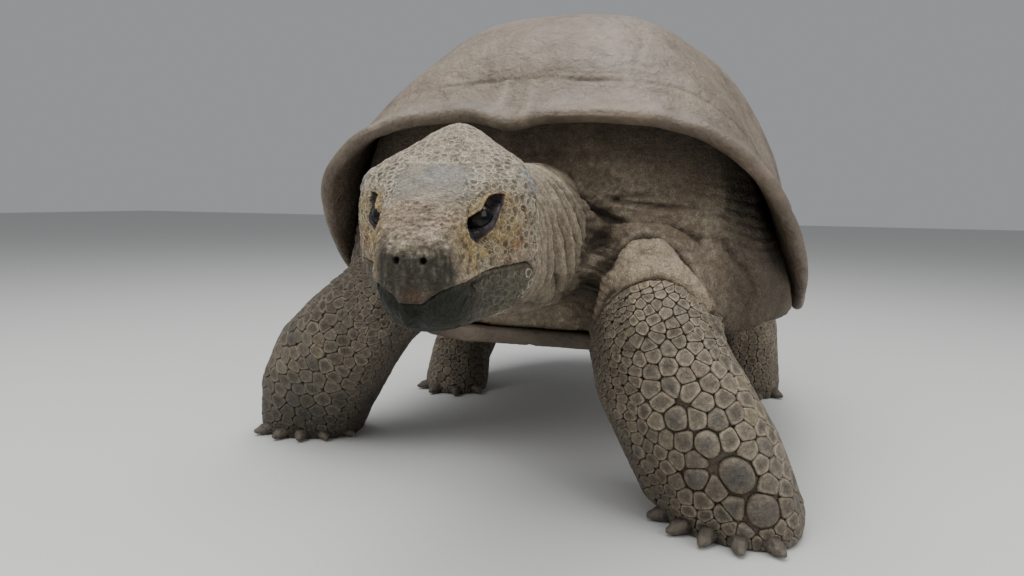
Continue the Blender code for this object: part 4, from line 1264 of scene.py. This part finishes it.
def build_skin(settings, head):
    mesh = remeshed(FLESH + ("eye_left", "eye_right"), settings.fineness, OVERLAP, "skin")
    points, edges = points_of(mesh), edges_of(mesh)
    q = on_head(points)
    weight = blend(0.10, 1.0, ramp(q[:, 1], 0.11, 0.17))[:, None]
    floor = (points[:, 2] < 0.004)[:, None]
    weight = weight * np.where(floor, (1.0, 1.0, 0.0), (1.0, 1.0, 1.0))
    points = settle(points, edges, 26, weight)
    move_points(mesh, points)
    points = points - normals_of(mesh) * OVERLAP
    points[:, 2] = points[:, 2].clip(0.0)
    move_points(mesh, points)

    def shown(middles):
        return (hidden_share(middles) < 0.5) & ((middles - SHELL_MIDDLE)[:, 1] < 0.0)

    def limbs(middles):
        body = middles - SHELL_MIDDLE
        return shown(middles) | (body[:, 2] < 0.24) | (body[:, 1] > 0.40) & (body[:, 2] < 0.34)

    def front(middles):
        body = middles - SHELL_MIDDLE
        neck = (body[:, 1] < -0.40) & (np.abs(body[:, 0]) < 0.30) & (body[:, 2] > 0.27)
        shoulder = (body[:, 1] < -0.34) & (body[:, 2] > 0.30) & (hidden_share(middles) < 0.5)
        return neck | shoulder

    def head_only(middles):
        return on_head(middles)[:, 1] < 0.125

    for wanted, rounds in ((limbs, 3), (front, 4), (head_only, 5)):
        refine(mesh, wanted)
        move_points(mesh, settle(points_of(mesh), edges_of(mesh), rounds, 1.0, 0.5, -0.5))
    points, normal = points_of(mesh), normals_of(mesh)
    owner = flesh_numbers(points)
    unwrap_by_parts(mesh, points, normal, owner)

    # The bare surface, before its folds, is what the scales are laid on.
    bare = mesh.copy()
    bare.name = "bare_skin"
    body = points - SHELL_MIDDLE
    height, scaled = shape_body(body, normal, owner, settings)
    q = on_head(points)
    shifted, head_height = shape_head(q, normal @ HEAD[:3, :3])
    points = points + (shifted - q) @ HEAD[:3, :3].T
    move_points(bare, points)
    points = points + normal * (height + head_height)[:, None]
    points[:, 2] = points[:, 2].clip(0.0)
    move_points(mesh, points)
    colours, lids = skin_markings(points_of(bare), normal, scaled, settings, head)
    # Painted shade in the folds and creases: the deeper the skin is sunk, the darker it is painted.
    deep = -(height + head_height)
    crease = 0.35 * ramp(deep, 0.0010, 0.0040) + 0.45 * ramp(deep, 0.0045, 0.0095)
    crease = crease * (1 - scaled) * (1 - lids)
    colours = blend(colours, settings.painted_shade, crease)
    paint(mesh, colours)
    made = add_object("skin", mesh, skin_material())
    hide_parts(*FLESH)
    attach(made, "root")
    under_scales["bare"], under_scales["owner"] = bare, owner


class TORTOISE_OT_skin(bpy.types.Operator):
    """Draw one skin over all of the flesh, with its folds, lids, nostrils and beak"""

    bl_idname = "tortoise.skin"
    bl_label = "Skin"

    def execute(self, context):
        build_skin(context.scene.tortoise_skin, context.scene.tortoise_head)
        return {"FINISHED"}


# --- eyes --------------------------------------------------------------------------------------------
class EyeSettings(bpy.types.PropertyGroup):
    """Sizes and colours of the eyes"""

    iris: colour_of("Iris", "Dark brown iris", (0.016, 0.010, 0.007))
    pupil: colour_of("Pupil", "Pupil", (0.002, 0.002, 0.003))
    radius: length_of("Eye radius", "Radius of each eyeball", 0.0152)
    cornea: length_of("Cornea", "How far the cornea stands out", 0.0011)


def build_eyes(settings):
    material = finish(
        "eye", mottles=[("noise", 900.0, 0.3, 0.7, 0.7, 1.3)], bumps=[("noise", 500.0, 0.2, 0.8, 0.00004)],
        roughness=(0.12, 0.20), specular=0.10, coat=0.22, coat_roughness=0.05)
    for side, node in ((1, "eye_left"), (-1, "eye_right")):
        eye, gaze, _, _ = lid_frame(side)
        bm = bmesh.new()
        bmesh.ops.create_uvsphere(bm, u_segments=64, v_segments=40, radius=1.0)
        mesh = bpy.data.meshes.new(node + "_ball")
        bm.to_mesh(mesh)
        bm.free()
        way = points_of(mesh)
        facing = way @ gaze
        radius = settings.radius + settings.cornea * ramp(facing, 0.72, 0.90)
        points = (way * radius[:, None] + eye) @ HEAD[:3, :3].T + HEAD[:3, 3]
        move_points(mesh, points)
        colours = blend(settings.iris, settings.pupil, ramp(facing, 0.90, 0.93))
        colours = blend(colours, (0.008, 0.007, 0.007), 1 - ramp(facing, 0.70, 0.74))
        paint(mesh, colours)
        made = add_object(node + "_ball", mesh, material)
        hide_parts(node)
        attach(made, "root")


class TORTOISE_OT_eyes(bpy.types.Operator):
    """Set the eyes behind their lids"""

    bl_idname = "tortoise.eyes"
    bl_label = "Eyes"

    def execute(self, context):
        build_eyes(context.scene.tortoise_eye)
        return {"FINISHED"}


# --- scales ------------------------------------------------------------------------------------------
class ScaleSettings(bpy.types.PropertyGroup):
    """Sizes and colours of the scales of the limbs, head and tail"""

    rim: colour_of("Rim", "Worn pale rim of each scale", (0.385, 0.322, 0.235))
    centre: colour_of("Centre", "Horn at the middle of each scale", (0.150, 0.124, 0.090))
    seam: colour_of("Seam", "Skin between the scales", (0.036, 0.028, 0.020))
    gap: length_of("Gap", "Width of the skin shown between scales", 0.0005)
    fore_size: length_of("Foreleg scales", "Width of the scales half way down a foreleg", 0.0270)
    hind_size: length_of("Hind leg scales", "Width of the scales of the hind legs", 0.0170)
    head_size: length_of("Head scales", "Width of the scales of the crown", 0.0074)
    tallness: FloatProperty(
        name="Height share", description="Height of a scale as a share of its width", default=0.105)


def spread_seeds(points, sizes, seed, fixed=(), squat=1.0):
    """Pick points about as far apart as their sizes say, then even them out."""
    chance = np.random.default_rng(seed)
    order = np.concatenate((np.array(fixed, int), chance.permutation(len(points))[:16000]))
    spots, widths, count = np.zeros((len(order), 3)), np.zeros(len(order)), 0
    squat = np.broadcast_to(squat, points.shape)
    for k in order:
        gaps = (spots[:count] - points[k]) * squat[k]
        near = (gaps ** 2).sum(axis=1) < (0.40 * (widths[:count] + sizes[k])) ** 2
        if not near.any():
            spots[count], widths[count] = points[k], sizes[k]
            count += 1
    spots, widths = spots[:count], widths[:count]
    some = chance.permutation(len(points))[:12000]
    sample, stretch = points[some], squat[some]
    for _ in range(5):
        apart = sum(((sample[:, None, k] - spots[:, k]) * stretch[:, None, k]) ** 2 for k in range(3))
        apart = np.sqrt(apart) / widths
        owner = np.argmin(apart, axis=1)
        count = np.bincount(owner, minlength=len(spots))
        for axis in range(3):
            middle = np.bincount(owner, sample[:, axis], len(spots)) / count.clip(1)
            moved = np.where(count > 3, middle, spots[:, axis])
            moved[: len(fixed)] = spots[: len(fixed), axis]
            spots[:, axis] = moved
    return spots, widths


class ScaleField:
    """Scales laid over a part of the bare skin, gathered as one mesh."""

    def __init__(self, bare, keep):
        self.points, self.faces, self.colours, self.spots = [], [], [], []
        self.total = 0
        size = np.empty(len(bare.polygons), np.int32)
        bare.polygons.foreach_get("loop_total", size)
        vertices = points_of(bare)
        near = np.zeros(len(vertices), bool)
        near[keep] = True
        corner = corners_of(bare)
        start = np.concatenate(([0], np.cumsum(size)[:-1]))
        used = np.logical_or.reduceat(near[corner], start)
        faces = [corner[s:s + n].tolist() for s, n in zip(start[used], size[used])]
        index = np.full(len(vertices), -1)
        touched = np.unique(np.concatenate([np.array(face) for face in faces]))
        index[touched] = np.arange(len(touched))
        self.tree = BVHTree.FromPolygons(vertices[touched].tolist(), [index[f].tolist() for f in faces])

    def lay(self, spots, widths, lie, look, gap, bosses=0):
        """Draw a scale round each spot, bounded half way to its neighbours; the first are round bosses."""
        tree = KDTree(len(spots))
        for k, spot in enumerate(spots.tolist()):
            tree.insert(spot, k)
        tree.balance()
        hits = [self.tree.find_nearest(spot) for spot in spots.tolist()]
        spots = np.array([hit[0] for hit in hits])
        normals = np.array([hit[1] for hit in hits])
        for k, (spot, normal, width) in enumerate(zip(spots, normals, widths)):
            ahead = lie(spot) - normal * (lie(spot) @ normal)
            ahead /= np.linalg.norm(ahead).clip(1e-6)
            aside = np.cross(normal, ahead)
            count = 12 if width < 0.010 else 16 if width < 0.020 else 22
            turn = 2 * np.pi * np.arange(count) / count
            toward = np.stack((np.cos(turn), np.sin(turn)), axis=1)
            sharp, reach_out = (6.0, 0.56) if k < bosses else (11.0, 0.85)
            pull = np.full(count, (1 / (reach_out * width)) ** sharp)
            for _, other, _ in tree.find_n(spots[k].tolist(), 16):
                if other == k or normals[other] @ normal < 0.1:
                    continue
                apart = spots[other] - spot
                flat = np.array((apart @ ahead, apart @ aside))
                length = np.linalg.norm(apart)
                reach = length * width / (width + widths[other]) - gap / 2
                facing = (toward @ flat / np.linalg.norm(flat).clip(1e-6)).clip(0.0)
                pull += (facing / max(reach, 0.001)) ** sharp
            radius = pull ** (-1 / sharp)
            if radius.mean() < 0.22 * width:
                continue
            self.draw(spot, normal, ahead, aside, toward, radius, look(k, spot, normal, radius.mean() * 2))

    def draw(self, spot, normal, ahead, aside, toward, radius, made_like):
        profile, hue_profile, tall, lean, hues = made_like
        rows = []
        for share, level in profile:
            flat = toward * (radius * share)[:, None]
            ring = spot + flat[:, :1] * ahead + flat[:, 1:] * aside
            tilt = lean * (flat[:, 0] / max(radius.mean(), 1e-6)) * (level > 0)
            for place, lift in zip(ring, np.atleast_1d(level * tall + tilt * tall)):
                hit, face_normal, _, _ = self.tree.find_nearest(place.tolist())
                up = np.array(face_normal) + normal
                rows.append(np.array(hit) + up / np.linalg.norm(up) * lift)
        rows.append(np.mean(rows[-len(toward):], axis=0))
        count, levels, first = len(toward), len(profile), self.total
        self.faces += ring_faces(levels, count, first)
        last = first + (levels - 1) * count
        self.faces += [(last + c, last + (c + 1) % count, first + levels * count) for c in range(count)]
        self.points += rows
        shares = np.repeat([share for share, _ in profile], count)
        hue_at = np.interp(np.append(np.arange(levels).repeat(count), levels), *hue_profile)
        self.colours.append(blend(hues[0], blend(hues[1], hues[2], ramp(hue_at, 1, 2)), ramp(hue_at, 0, 1)))
        ends = np.vstack((np.tile(toward, (levels, 1)) * shares[:, None], ((0, 0),)))
        self.spots.append((spot, ends * 0.0015))
        self.total += len(rows)

    def finish(self, name, place):
        mesh = mesh_from(name, self.points, self.faces)
        paint(mesh, np.vstack(self.colours))
        roots = place(np.array([spot for spot, _ in self.spots]))
        each = np.vstack([root + ends for root, (_, ends) in zip(roots, self.spots)])
        lay_flat(mesh, each[corners_of(mesh)])
        made = add_object(name, mesh, bpy.data.materials.get("scale_horn") or scale_material())
        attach(made, "root")


# A scale from its foot inwards: share of its width, and share of its height.
DISHED = ((1.03, -0.9), (1.0, 0.30), (0.93, 0.86), (0.82, 1.0), (0.66, 0.86), (0.40, 0.72), (0.15, 0.70))
DOMED = ((1.03, -0.7), (1.0, 0.22), (0.92, 0.60), (0.76, 0.88), (0.52, 1.05), (0.28, 1.14), (0.10, 1.16))
BOSS = ((1.04, -0.7), (1.0, 0.35), (0.95, 1.05), (0.86, 1.60), (0.70, 2.10), (0.48, 2.45), (0.20, 2.60))
FLAKE = ((1.05, -0.8), (1.0, 0.45), (0.84, 1.0), (0.60, 0.60), (0.30, 0.45))
RIM_TO_CENTRE = ((0, 1, 2, 3, 4.4, 8), (0.0, 0.62, 1.0, 1.12, 1.75, 2.0))
HEAD_HUES = ((0, 1, 2, 3, 4), (0.0, 0.7, 1.0, 1.9, 2.0))


def scale_material():
    return finish(
        "scale_horn",
        mottles=[("noise", 150.0, 0.3, 0.7, 0.66, 1.26), ("noise", 620.0, 0.3, 0.7, 0.70, 1.24)],
        bumps=[("noise", 210.0, 0.2, 0.8, 0.0024), ("noise", 800.0, 0.2, 0.8, 0.0011)],
        roughness=(0.46, 0.70), specular=0.42)


# The largest scales of the left forefoot, about the shell's middle, and their widths.
BIG_SCALES = (((0.272, -0.522, 0.137), 0.037), ((0.311, -0.520, 0.100), 0.052),
              ((0.348, -0.520, 0.055), 0.050), ((0.232, -0.515, 0.165), 0.036),
              ((0.262, -0.520, 0.090), 0.036))
TALLEST = 0.0032  # of the scales of the legs
SCALE_OCHRE, BOSS_GREY = (0.20, 0.155, 0.075), (0.095, 0.092, 0.088)
FAR_LEG_SHADE = 0.38  # painted shade: how much darker the right foreleg's scales are painted, as if shaded by the body


def lie_along(line):
    """The way that scales lie on a limb: along the nearest stretch of its line, towards its end."""
    corners = np.array(line)

    def lie(spot):
        gaps = np.linalg.norm(spot - SHELL_MIDDLE - (corners[:-1] + corners[1:]) / 2, axis=1)
        k = int(np.argmin(gaps))
        return corners[k + 1] - corners[k]

    return lie


def build_limb_scales(name, settings, skin, head):
    bare, owner = under_scales["bare"], under_scales["owner"]
    points, normal = points_of(bare), normals_of(bare)
    body = points - SHELL_MIDDLE
    line = LIMB_LINES[name]
    start = SCALE_START[name]
    way = 1 if name.endswith("left") else -1
    fore = name.startswith("fore")
    along, offset = limb_place(body, line)
    down = along - start + 0.006 * drift(body, 0.07, 161, 2) + limb_arch(name, offset)
    mine = (owner == FLESH.index(name)) & (down > 0.003) & (body[:, 2] > 0.004)
    mine &= limb_hold(offset, body) > 0.85
    keep = np.flatnonzero(mine)
    body, normal, down = body[keep], normal[keep], down[keep]
    if fore:
        size = settings.fore_size * np.interp(down, (0, 0.03, 0.09, 0.17, 0.30), (0.56, 0.74, 0.92, 1.0, 1.1))
        inner = ramp(-way * normal[:, 0], 0.15, 0.65) + ramp(normal[:, 1], 0.0, 0.5)
        size = size * (1 - 0.42 * inner.clip(0, 1)) * (1 + 0.16 * drift(body, 0.04, 201))
    else:
        size = settings.hind_size * np.interp(down, (0, 0.05, 0.15), (0.7, 1.0, 1.15))
        size = size * (1 + 0.15 * drift(body, 0.04, 203))
    size = np.minimum(size, 0.012 + 0.25 * body[:, 2])
    fixed = []
    if name == "foreleg_left":
        for spot, wide in BIG_SCALES:
            k = int(np.argmin(np.linalg.norm(body - spot, axis=1)))
            size[k] = wide
            fixed.append(k)
    # Near the fold the scales are wider than tall.
    squat = np.ones((len(keep), 3))
    squat[:, 2] = blend(2.2, 1.1, ramp(down, 0.02, 0.16)) if fore else 1.2
    seeds, widths = spread_seeds(points[keep], size, 211 + FEET.index(name), fixed, squat)
    field = ScaleField(bare, keep)

    facing = np.tile((0.0, -1.0, 0.0), (len(seeds), 1))
    hues, _ = skin_markings(seeds, facing, np.zeros(len(seeds)), skin, head)
    luck = np.random.default_rng(221).random((len(seeds), 4))
    depth = limb_place(seeds - SHELL_MIDDLE, line)[0] - start

    def look(k, spot, normal, width):
        large = k < len(fixed)
        domed = large or luck[k, 0] < 0.12
        flatter = 1 - 0.45 * float(ramp(way * normal[0], 0.35, 0.8)) * (not large)
        tall = min(settings.tallness * width, TALLEST) * (0.8 + 0.4 * luck[k, 1]) * flatter
        rim = blend(settings.rim, hues[k], 0.3) * (0.80 + 0.4 * luck[k, 2])
        centre = blend(settings.centre, hues[k], 0.35) * (0.62 + 0.6 * luck[k, 3])
        if luck[k, 3] > 0.93:
            centre = blend(centre, SCALE_OCHRE, 0.6)
        if domed:
            rim, centre = rim * 0.8, blend(centre, BOSS_GREY, 0.5)
        # Scales are darker towards the foot with soil; the right foreleg's are darker still, as painted
        # shade.
        soil_and_far_leg_shade = 1 - 0.30 * float(ramp(0.17 - spot[2], 0.0, 0.12)) - FAR_LEG_SHADE * (name == "foreleg_right")
        rim, centre = rim * soil_and_far_leg_shade, centre * soil_and_far_leg_shade
        # Painted shade: scales facing in towards the body are blended towards the dark colour of the seams.
        inner = float(ramp(-way * normal[0], 0.2, 0.8)) * 0.45
        rim, centre = blend(rim, settings.seam, inner), blend(centre, settings.seam, inner)
        lean = blend(0.85, 0.20, float(ramp(depth[k], 0.04, 0.16))) if fore else 0.25
        shape = BOSS if large else DOMED if domed else DISHED
        seam = blend(settings.seam, rim, 0.45 * float(ramp(way * normal[0], 0.35, 0.8)))
        return shape, RIM_TO_CENTRE, tall, 0.0 if large else lean, (seam, rim, centre)

    field.lay(seeds, widths, lie_along(line), look, settings.gap, len(fixed))
    length = sum(np.linalg.norm(np.array(b) - np.array(a)) for a, b in zip(line, line[1:]))

    def place(roots):
        far, offset = limb_place(roots - SHELL_MIDDLE, line)
        turn = np.arctan2(offset[:, 0], -offset[:, 1])
        return np.stack((0.5 + turn / (2 * np.pi) * 0.97, 0.02 + 0.95 * (far / length).clip(0, 1)), axis=1)

    field.finish(name + "_scales", place)


FLAKE_HEIGHT = 0.00085  # of the small scales of the head


def build_head_scales(settings, skin, head):
    bare = under_scales["bare"]
    points, normal = points_of(bare), normals_of(bare)
    q = on_head(points)
    turned = normal @ HEAD[:3, :3]
    side = np.abs(q[:, 0])
    edge = frontal_edge(q)
    line = q[:, 2] - mouth_height(q)
    free = np.ones(len(q), bool)
    ring = np.full(len(q), 1.0)
    for way in (1, -1):
        eye, gaze, run, rise = lid_frame(way)
        along, up, out = (q - eye) @ run, (q - eye) @ rise, (q - eye) @ gaze
        upper, _, foot, _ = lid_lines(along)
        lids = (up < upper + 0.0042) & (up > foot - 0.0020) & (np.abs(along - 0.002) < 0.0290)
        free &= ~(lids & (out > -0.006))
        ring = np.minimum(ring, np.where(out > -0.01, np.hypot(along * 0.86, up), 1.0))
    temple = temple_gap(q)
    free &= ~((temple < 0.0125) & (side > 0.05))
    crown = (edge > 0.002) & (turned[:, 2] > 0.25)
    cheek = (side > 0.030) & (q[:, 1] > -0.035) & (line > 0.0075)
    frayed = 0.024 * drift(q, 0.014, 229, 2)
    jaw = (line < -0.0055) & (q[:, 1] + frayed > -0.040) & (side > 0.012)
    mine = free & (crown | cheek | jaw) & (q[:, 1] < 0.128)
    keep = np.flatnonzero(mine)
    q = q[keep]
    size = settings.head_size * (1 + 0.22 * drift(q, 0.02, 231))
    size *= blend(1.0, 0.75, ramp(q[:, 1], 0.07, 0.11)) * np.where(line[keep] < 0, 0.95, 1.0)
    size *= blend(0.66, 1.0, ramp(ring[keep], 0.020, 0.036))
    sample = np.random.default_rng(7).permutation(len(keep))[:26000]
    seeds, widths = spread_seeds(points[keep][sample], size[sample], 233)
    field = ScaleField(bare, keep)
    facing = np.tile(HEAD[:3, 2], (len(seeds), 1))
    hues, _ = skin_markings(seeds, facing, np.zeros(len(seeds)), skin, head)
    luck = np.random.default_rng(241).random((len(seeds), 3))
    at = on_head(seeds)
    dark = (at[:, 2] < mouth_height(at)) & (at[:, 1] < 0.02)

    def look(k, spot, normal, width):
        shy = float(ramp(at[k, 1], -0.045, 0.005)) if dark[k] else 1.0
        tall = FLAKE_HEIGHT * (0.7 + 0.6 * luck[k, 0]) * (0.35 + 0.65 * shy)
        centre = np.array(hues[k]) * (0.48 + 0.36 * luck[k, 1])
        rim = blend(hues[k], head.pale, (0.50 + 0.45 * luck[k, 2]) * (0.17 * shy if dark[k] else 1.0))
        return FLAKE, HEAD_HUES, tall, 0.12, (rim * 0.8, rim, centre)

    field.lay(seeds, widths, lambda spot: HEAD[:3, 1], look, settings.gap * 0.5)

    def place(roots):
        at = on_head(roots)
        turn = np.arctan2(at[:, 0], at[:, 2] + 0.02) / (2 * np.pi)
        return np.stack((0.5 + 0.97 * turn, 0.03 + 0.93 * ((at[:, 1] + 0.06) / 0.20).clip(0, 1)), axis=1)

    field.finish("head_scales", place)


# The tail's middle line about the shell's middle, from its root to its tip.
TAIL_LINE = ((0.000, 0.400, 0.325), (0.000, 0.460, 0.300), (0.004, 0.512, 0.258), (0.012, 0.536, 0.216),
             (0.020, 0.540, 0.178), (0.025, 0.533, 0.145))


def build_tail_scales(settings):
    bare, owner = under_scales["bare"], under_scales["owner"]
    points = points_of(bare)
    along, _ = limb_place(points - SHELL_MIDDLE, TAIL_LINE)
    keep = np.flatnonzero((owner == FLESH.index("tail")) & (along > 0.045))
    size = 0.0125 * np.interp(along[keep], (0.05, 0.22), (1.1, 0.75))
    seeds, widths = spread_seeds(points[keep], size, 251, (), 1.15)
    field = ScaleField(bare, keep)
    luck = np.random.default_rng(253).random((len(seeds), 3))

    def look(k, spot, normal, width):
        rim = np.array(settings.rim) * (0.65 + 0.35 * luck[k, 0])
        centre = np.array(settings.centre) * (0.60 + 0.55 * luck[k, 1])
        return DISHED, RIM_TO_CENTRE, settings.tallness * width, 0.4, (np.array(settings.seam), rim, centre)

    field.lay(seeds, widths, lie_along(TAIL_LINE), look, settings.gap)

    def place(roots):
        far, offset = limb_place(roots - SHELL_MIDDLE, TAIL_LINE)
        turn = np.arctan2(offset[:, 0], offset[:, 1])
        return np.stack((0.5 + turn / (2 * np.pi) * 0.97, 0.02 + 0.95 * (far / 0.32).clip(0, 1)), axis=1)

    field.finish("tail_scales", place)


class TORTOISE_OT_scales(bpy.types.Operator):
    """Lay horny scales over the limbs, the head and the tail"""

    bl_idname = "tortoise.scales"
    bl_label = "Scales"

    def execute(self, context):
        scene = context.scene
        for foot in FEET:
            build_limb_scales(foot, scene.tortoise_scales, scene.tortoise_skin, scene.tortoise_head)
        build_head_scales(scene.tortoise_scales, scene.tortoise_skin, scene.tortoise_head)
        build_tail_scales(scene.tortoise_scales)
        return {"FINISHED"}


# --- claws -------------------------------------------------------------------------------------------
class ClawSettings(bpy.types.PropertyGroup):
    """Colours of the claws"""

    horn: colour_of("Horn", "Dark horn at the root", (0.042, 0.035, 0.027))
    tip: colour_of("Tip", "Worn horn at the tip", (0.115, 0.096, 0.072))


def build_claws(settings):
    material = finish(
        "claw_horn", mottles=[("noise", 130.0, 0.3, 0.7, 0.75, 1.2), ("noise", 700.0, 0.3, 0.7, 0.85, 1.1)],
        bumps=[("noise", 240.0, 0.2, 0.8, 0.0012), ("noise", 900.0, 0.2, 0.8, 0.0004)],
        roughness=(0.38, 0.62), specular=0.45)
    for foot in FEET:
        nodes = sorted(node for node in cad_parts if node.startswith(foot + "_claw"))
        mesh = remeshed(nodes, 0.0022, 0.0, foot + "_claws")
        points = settle(points_of(mesh), edges_of(mesh), 6)
        move_points(mesh, points)
        normal = normals_of(mesh)
        colours = np.zeros_like(points)
        rise = np.zeros(len(points))
        for node in nodes:
            low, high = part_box(node)
            middle = np.array((low + high) / 2)
            mine = np.linalg.norm(points - middle, axis=1) < np.linalg.norm(np.array(high - low)) * 0.55
            away = points[mine] - middle
            forward = ramp(-away[:, 1], -0.016, 0.018)
            rise[mine] = 0.00045 * np.sin(away[:, 0] * 900 + 3 * drift(points[mine], 0.02, 251)) * forward
            colours[mine] = blend(settings.horn, settings.tip, forward)
        rise += 0.0006 * drift(points, 0.006, 253)
        points = points + normal * rise[:, None]
        points[:, 2] = points[:, 2].clip(0.0)
        move_points(mesh, points)
        paint(mesh, colours * (1 + 0.25 * drift(points, 0.008, 255))[:, None])
        made = add_object(foot + "_claws", mesh, material)
        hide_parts(*nodes)
        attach(made, "root")


class TORTOISE_OT_claws(bpy.types.Operator):
    """Build the claws of all four feet"""

    bl_idname = "tortoise.claws"
    bl_label = "Claws"

    def execute(self, context):
        build_claws(context.scene.tortoise_claw)
        return {"FINISHED"}


# --- stage -------------------------------------------------------------------------------------------
class StageSettings(bpy.types.PropertyGroup):
    """The floor, the lights and the camera"""

    floor: colour_of("Floor", "Plain pale floor and backdrop", (0.62, 0.62, 0.60))
    eye_height: length_of("Camera height", "Height of the camera over the floor", 0.447)
    yaw: FloatProperty(
        name="Camera yaw", description="Turn of the camera from straight at the tortoise's face",
        default=-0.305, subtype="ANGLE")
    pitch: FloatProperty(
        name="Camera pitch", description="Tilt of the camera, down if negative",
        default=-0.119, subtype="ANGLE")
    roll: FloatProperty(name="Camera roll", description="Roll of the camera", default=0.014, subtype="ANGLE")
    lens: FloatProperty(
        name="Lens", description="Focal length on a 36 mm sensor", default=26.58, subtype="DISTANCE_CAMERA")
    key: FloatProperty(
        name="Key light", description="Strength of the large light overhead", default=80.0,
        subtype="POWER", unit="POWER")
    fill: FloatProperty(name="Fill", description="Strength of the even light from all round", default=0.33)


CAMERA_OFFSET = (0.313, -1.496)  # from under the shell's middle


SENSOR_WIDTH, NEAR_CLIP = 36.0, 0.02
FLOOR_REACH = 14.0
LIGHTS_AIM = (0.05, -0.1, 0.35)
# Each soft light: where it stands, its size, and its share of the key light's strength.
LIGHTS = {"key": ((-1.1, -2.2, 2.9), 2.6, 1.0), "top": ((0.2, 0.1, 3.4), 2.6, 1.25),
          "side": ((2.7, -1.4, 1.9), 2.0, 0.48)}


def build_stage(scene, settings):
    yaw, pitch, roll = settings.yaw, settings.pitch, settings.roll
    ahead = Vector((math.sin(yaw) * math.cos(pitch), math.cos(yaw) * math.cos(pitch), math.sin(pitch)))
    right = Vector((math.cos(yaw), -math.sin(yaw), 0.0))
    above = right.cross(ahead)
    across = math.cos(roll) * right + math.sin(roll) * above
    above = -math.sin(roll) * right + math.cos(roll) * above
    camera_data = bpy.data.cameras.new("camera")
    camera_data.lens = settings.lens
    camera_data.sensor_width = SENSOR_WIDTH
    camera_data.clip_start = NEAR_CLIP
    camera = bpy.data.objects.new("camera", camera_data)
    turn = Matrix((across, above, -ahead)).transposed().to_4x4()
    spot = Vector(SHELL_MIDDLE) + Vector((*CAMERA_OFFSET, settings.eye_height))
    camera.matrix_world = Matrix.Translation(spot) @ turn
    scene.collection.objects.link(camera)
    scene.camera = camera

    bm = bmesh.new()
    bmesh.ops.create_grid(bm, x_segments=2, y_segments=2, size=FLOOR_REACH)
    floor_mesh = bpy.data.meshes.new("floor")
    bm.to_mesh(floor_mesh)
    bm.free()
    floor_material = bpy.data.materials.new("floor")
    floor_material.use_nodes = True
    shader = floor_material.node_tree.nodes["Principled BSDF"]
    shader.inputs["Base Color"].default_value = (*settings.floor, 1.0)
    shader.inputs["Roughness"].default_value = 0.9
    floor = add_object("floor", floor_mesh, floor_material)

    world = bpy.data.worlds.new("studio")
    world.use_nodes = True
    background = world.node_tree.nodes["Background"]
    background.inputs["Color"].default_value = (0.93, 0.96, 1.0, 1.0)
    background.inputs["Strength"].default_value = settings.fill
    scene.world = world
    for name, (spot, size, share) in LIGHTS.items():
        light = bpy.data.lights.new(name, "AREA")
        light.size = size
        light.energy = settings.key * share
        lamp = bpy.data.objects.new(name, light)
        lamp.location = spot
        aim = Vector(LIGHTS_AIM) - Vector(spot)
        lamp.rotation_euler = aim.to_track_quat("-Z", "Y").to_euler()
        scene.collection.objects.link(lamp)


class TORTOISE_OT_stage(bpy.types.Operator):
    """Set up the pale floor, the soft lights and the camera"""

    bl_idname = "tortoise.stage"
    bl_label = "Stage"

    def execute(self, context):
        build_stage(context.scene, context.scene.tortoise_stage)
        return {"FINISHED"}


# --- panel and run -----------------------------------------------------------------------------------
GROUPS = {"shell": ShellSettings, "skin": SkinSettings, "head": HeadSettings, "scales": ScaleSettings,
          "eye": EyeSettings, "claw": ClawSettings, "stage": StageSettings}
OPERATORS = (TORTOISE_OT_carapace, TORTOISE_OT_plastron, TORTOISE_OT_skin, TORTOISE_OT_eyes,
             TORTOISE_OT_scales, TORTOISE_OT_claws, TORTOISE_OT_stage)


class TORTOISE_PT_panel(bpy.types.Panel):
    """The tortoise's pieces and their settings"""

    bl_label = "Giant tortoise"
    bl_space_type = "VIEW_3D"
    bl_region_type = "UI"
    bl_category = "Tortoise"

    def draw(self, context):
        for operator in OPERATORS:
            self.layout.operator(operator.bl_idname)
        for key, group in GROUPS.items():
            box = self.layout.box()
            box.label(text=key.capitalize())
            for field in group.__annotations__:
                box.prop(getattr(context.scene, "tortoise_" + key), field)


def register():
    for key, group in GROUPS.items():
        bpy.utils.register_class(group)
        setattr(bpy.types.Scene, "tortoise_" + key, PointerProperty(type=group))
    for made in (*OPERATORS, TORTOISE_PT_panel):
        bpy.utils.register_class(made)


def unregister():
    for made in (TORTOISE_PT_panel, *reversed(OPERATORS)):
        bpy.utils.unregister_class(made)
    for key, group in GROUPS.items():
        delattr(bpy.types.Scene, "tortoise_" + key)
        bpy.utils.unregister_class(group)


def main():
    register()
    for operator in OPERATORS:
        group, name = operator.bl_idname.split(".")
        getattr(getattr(bpy.ops, group), name)()


if __name__ == "__main__":
    main()
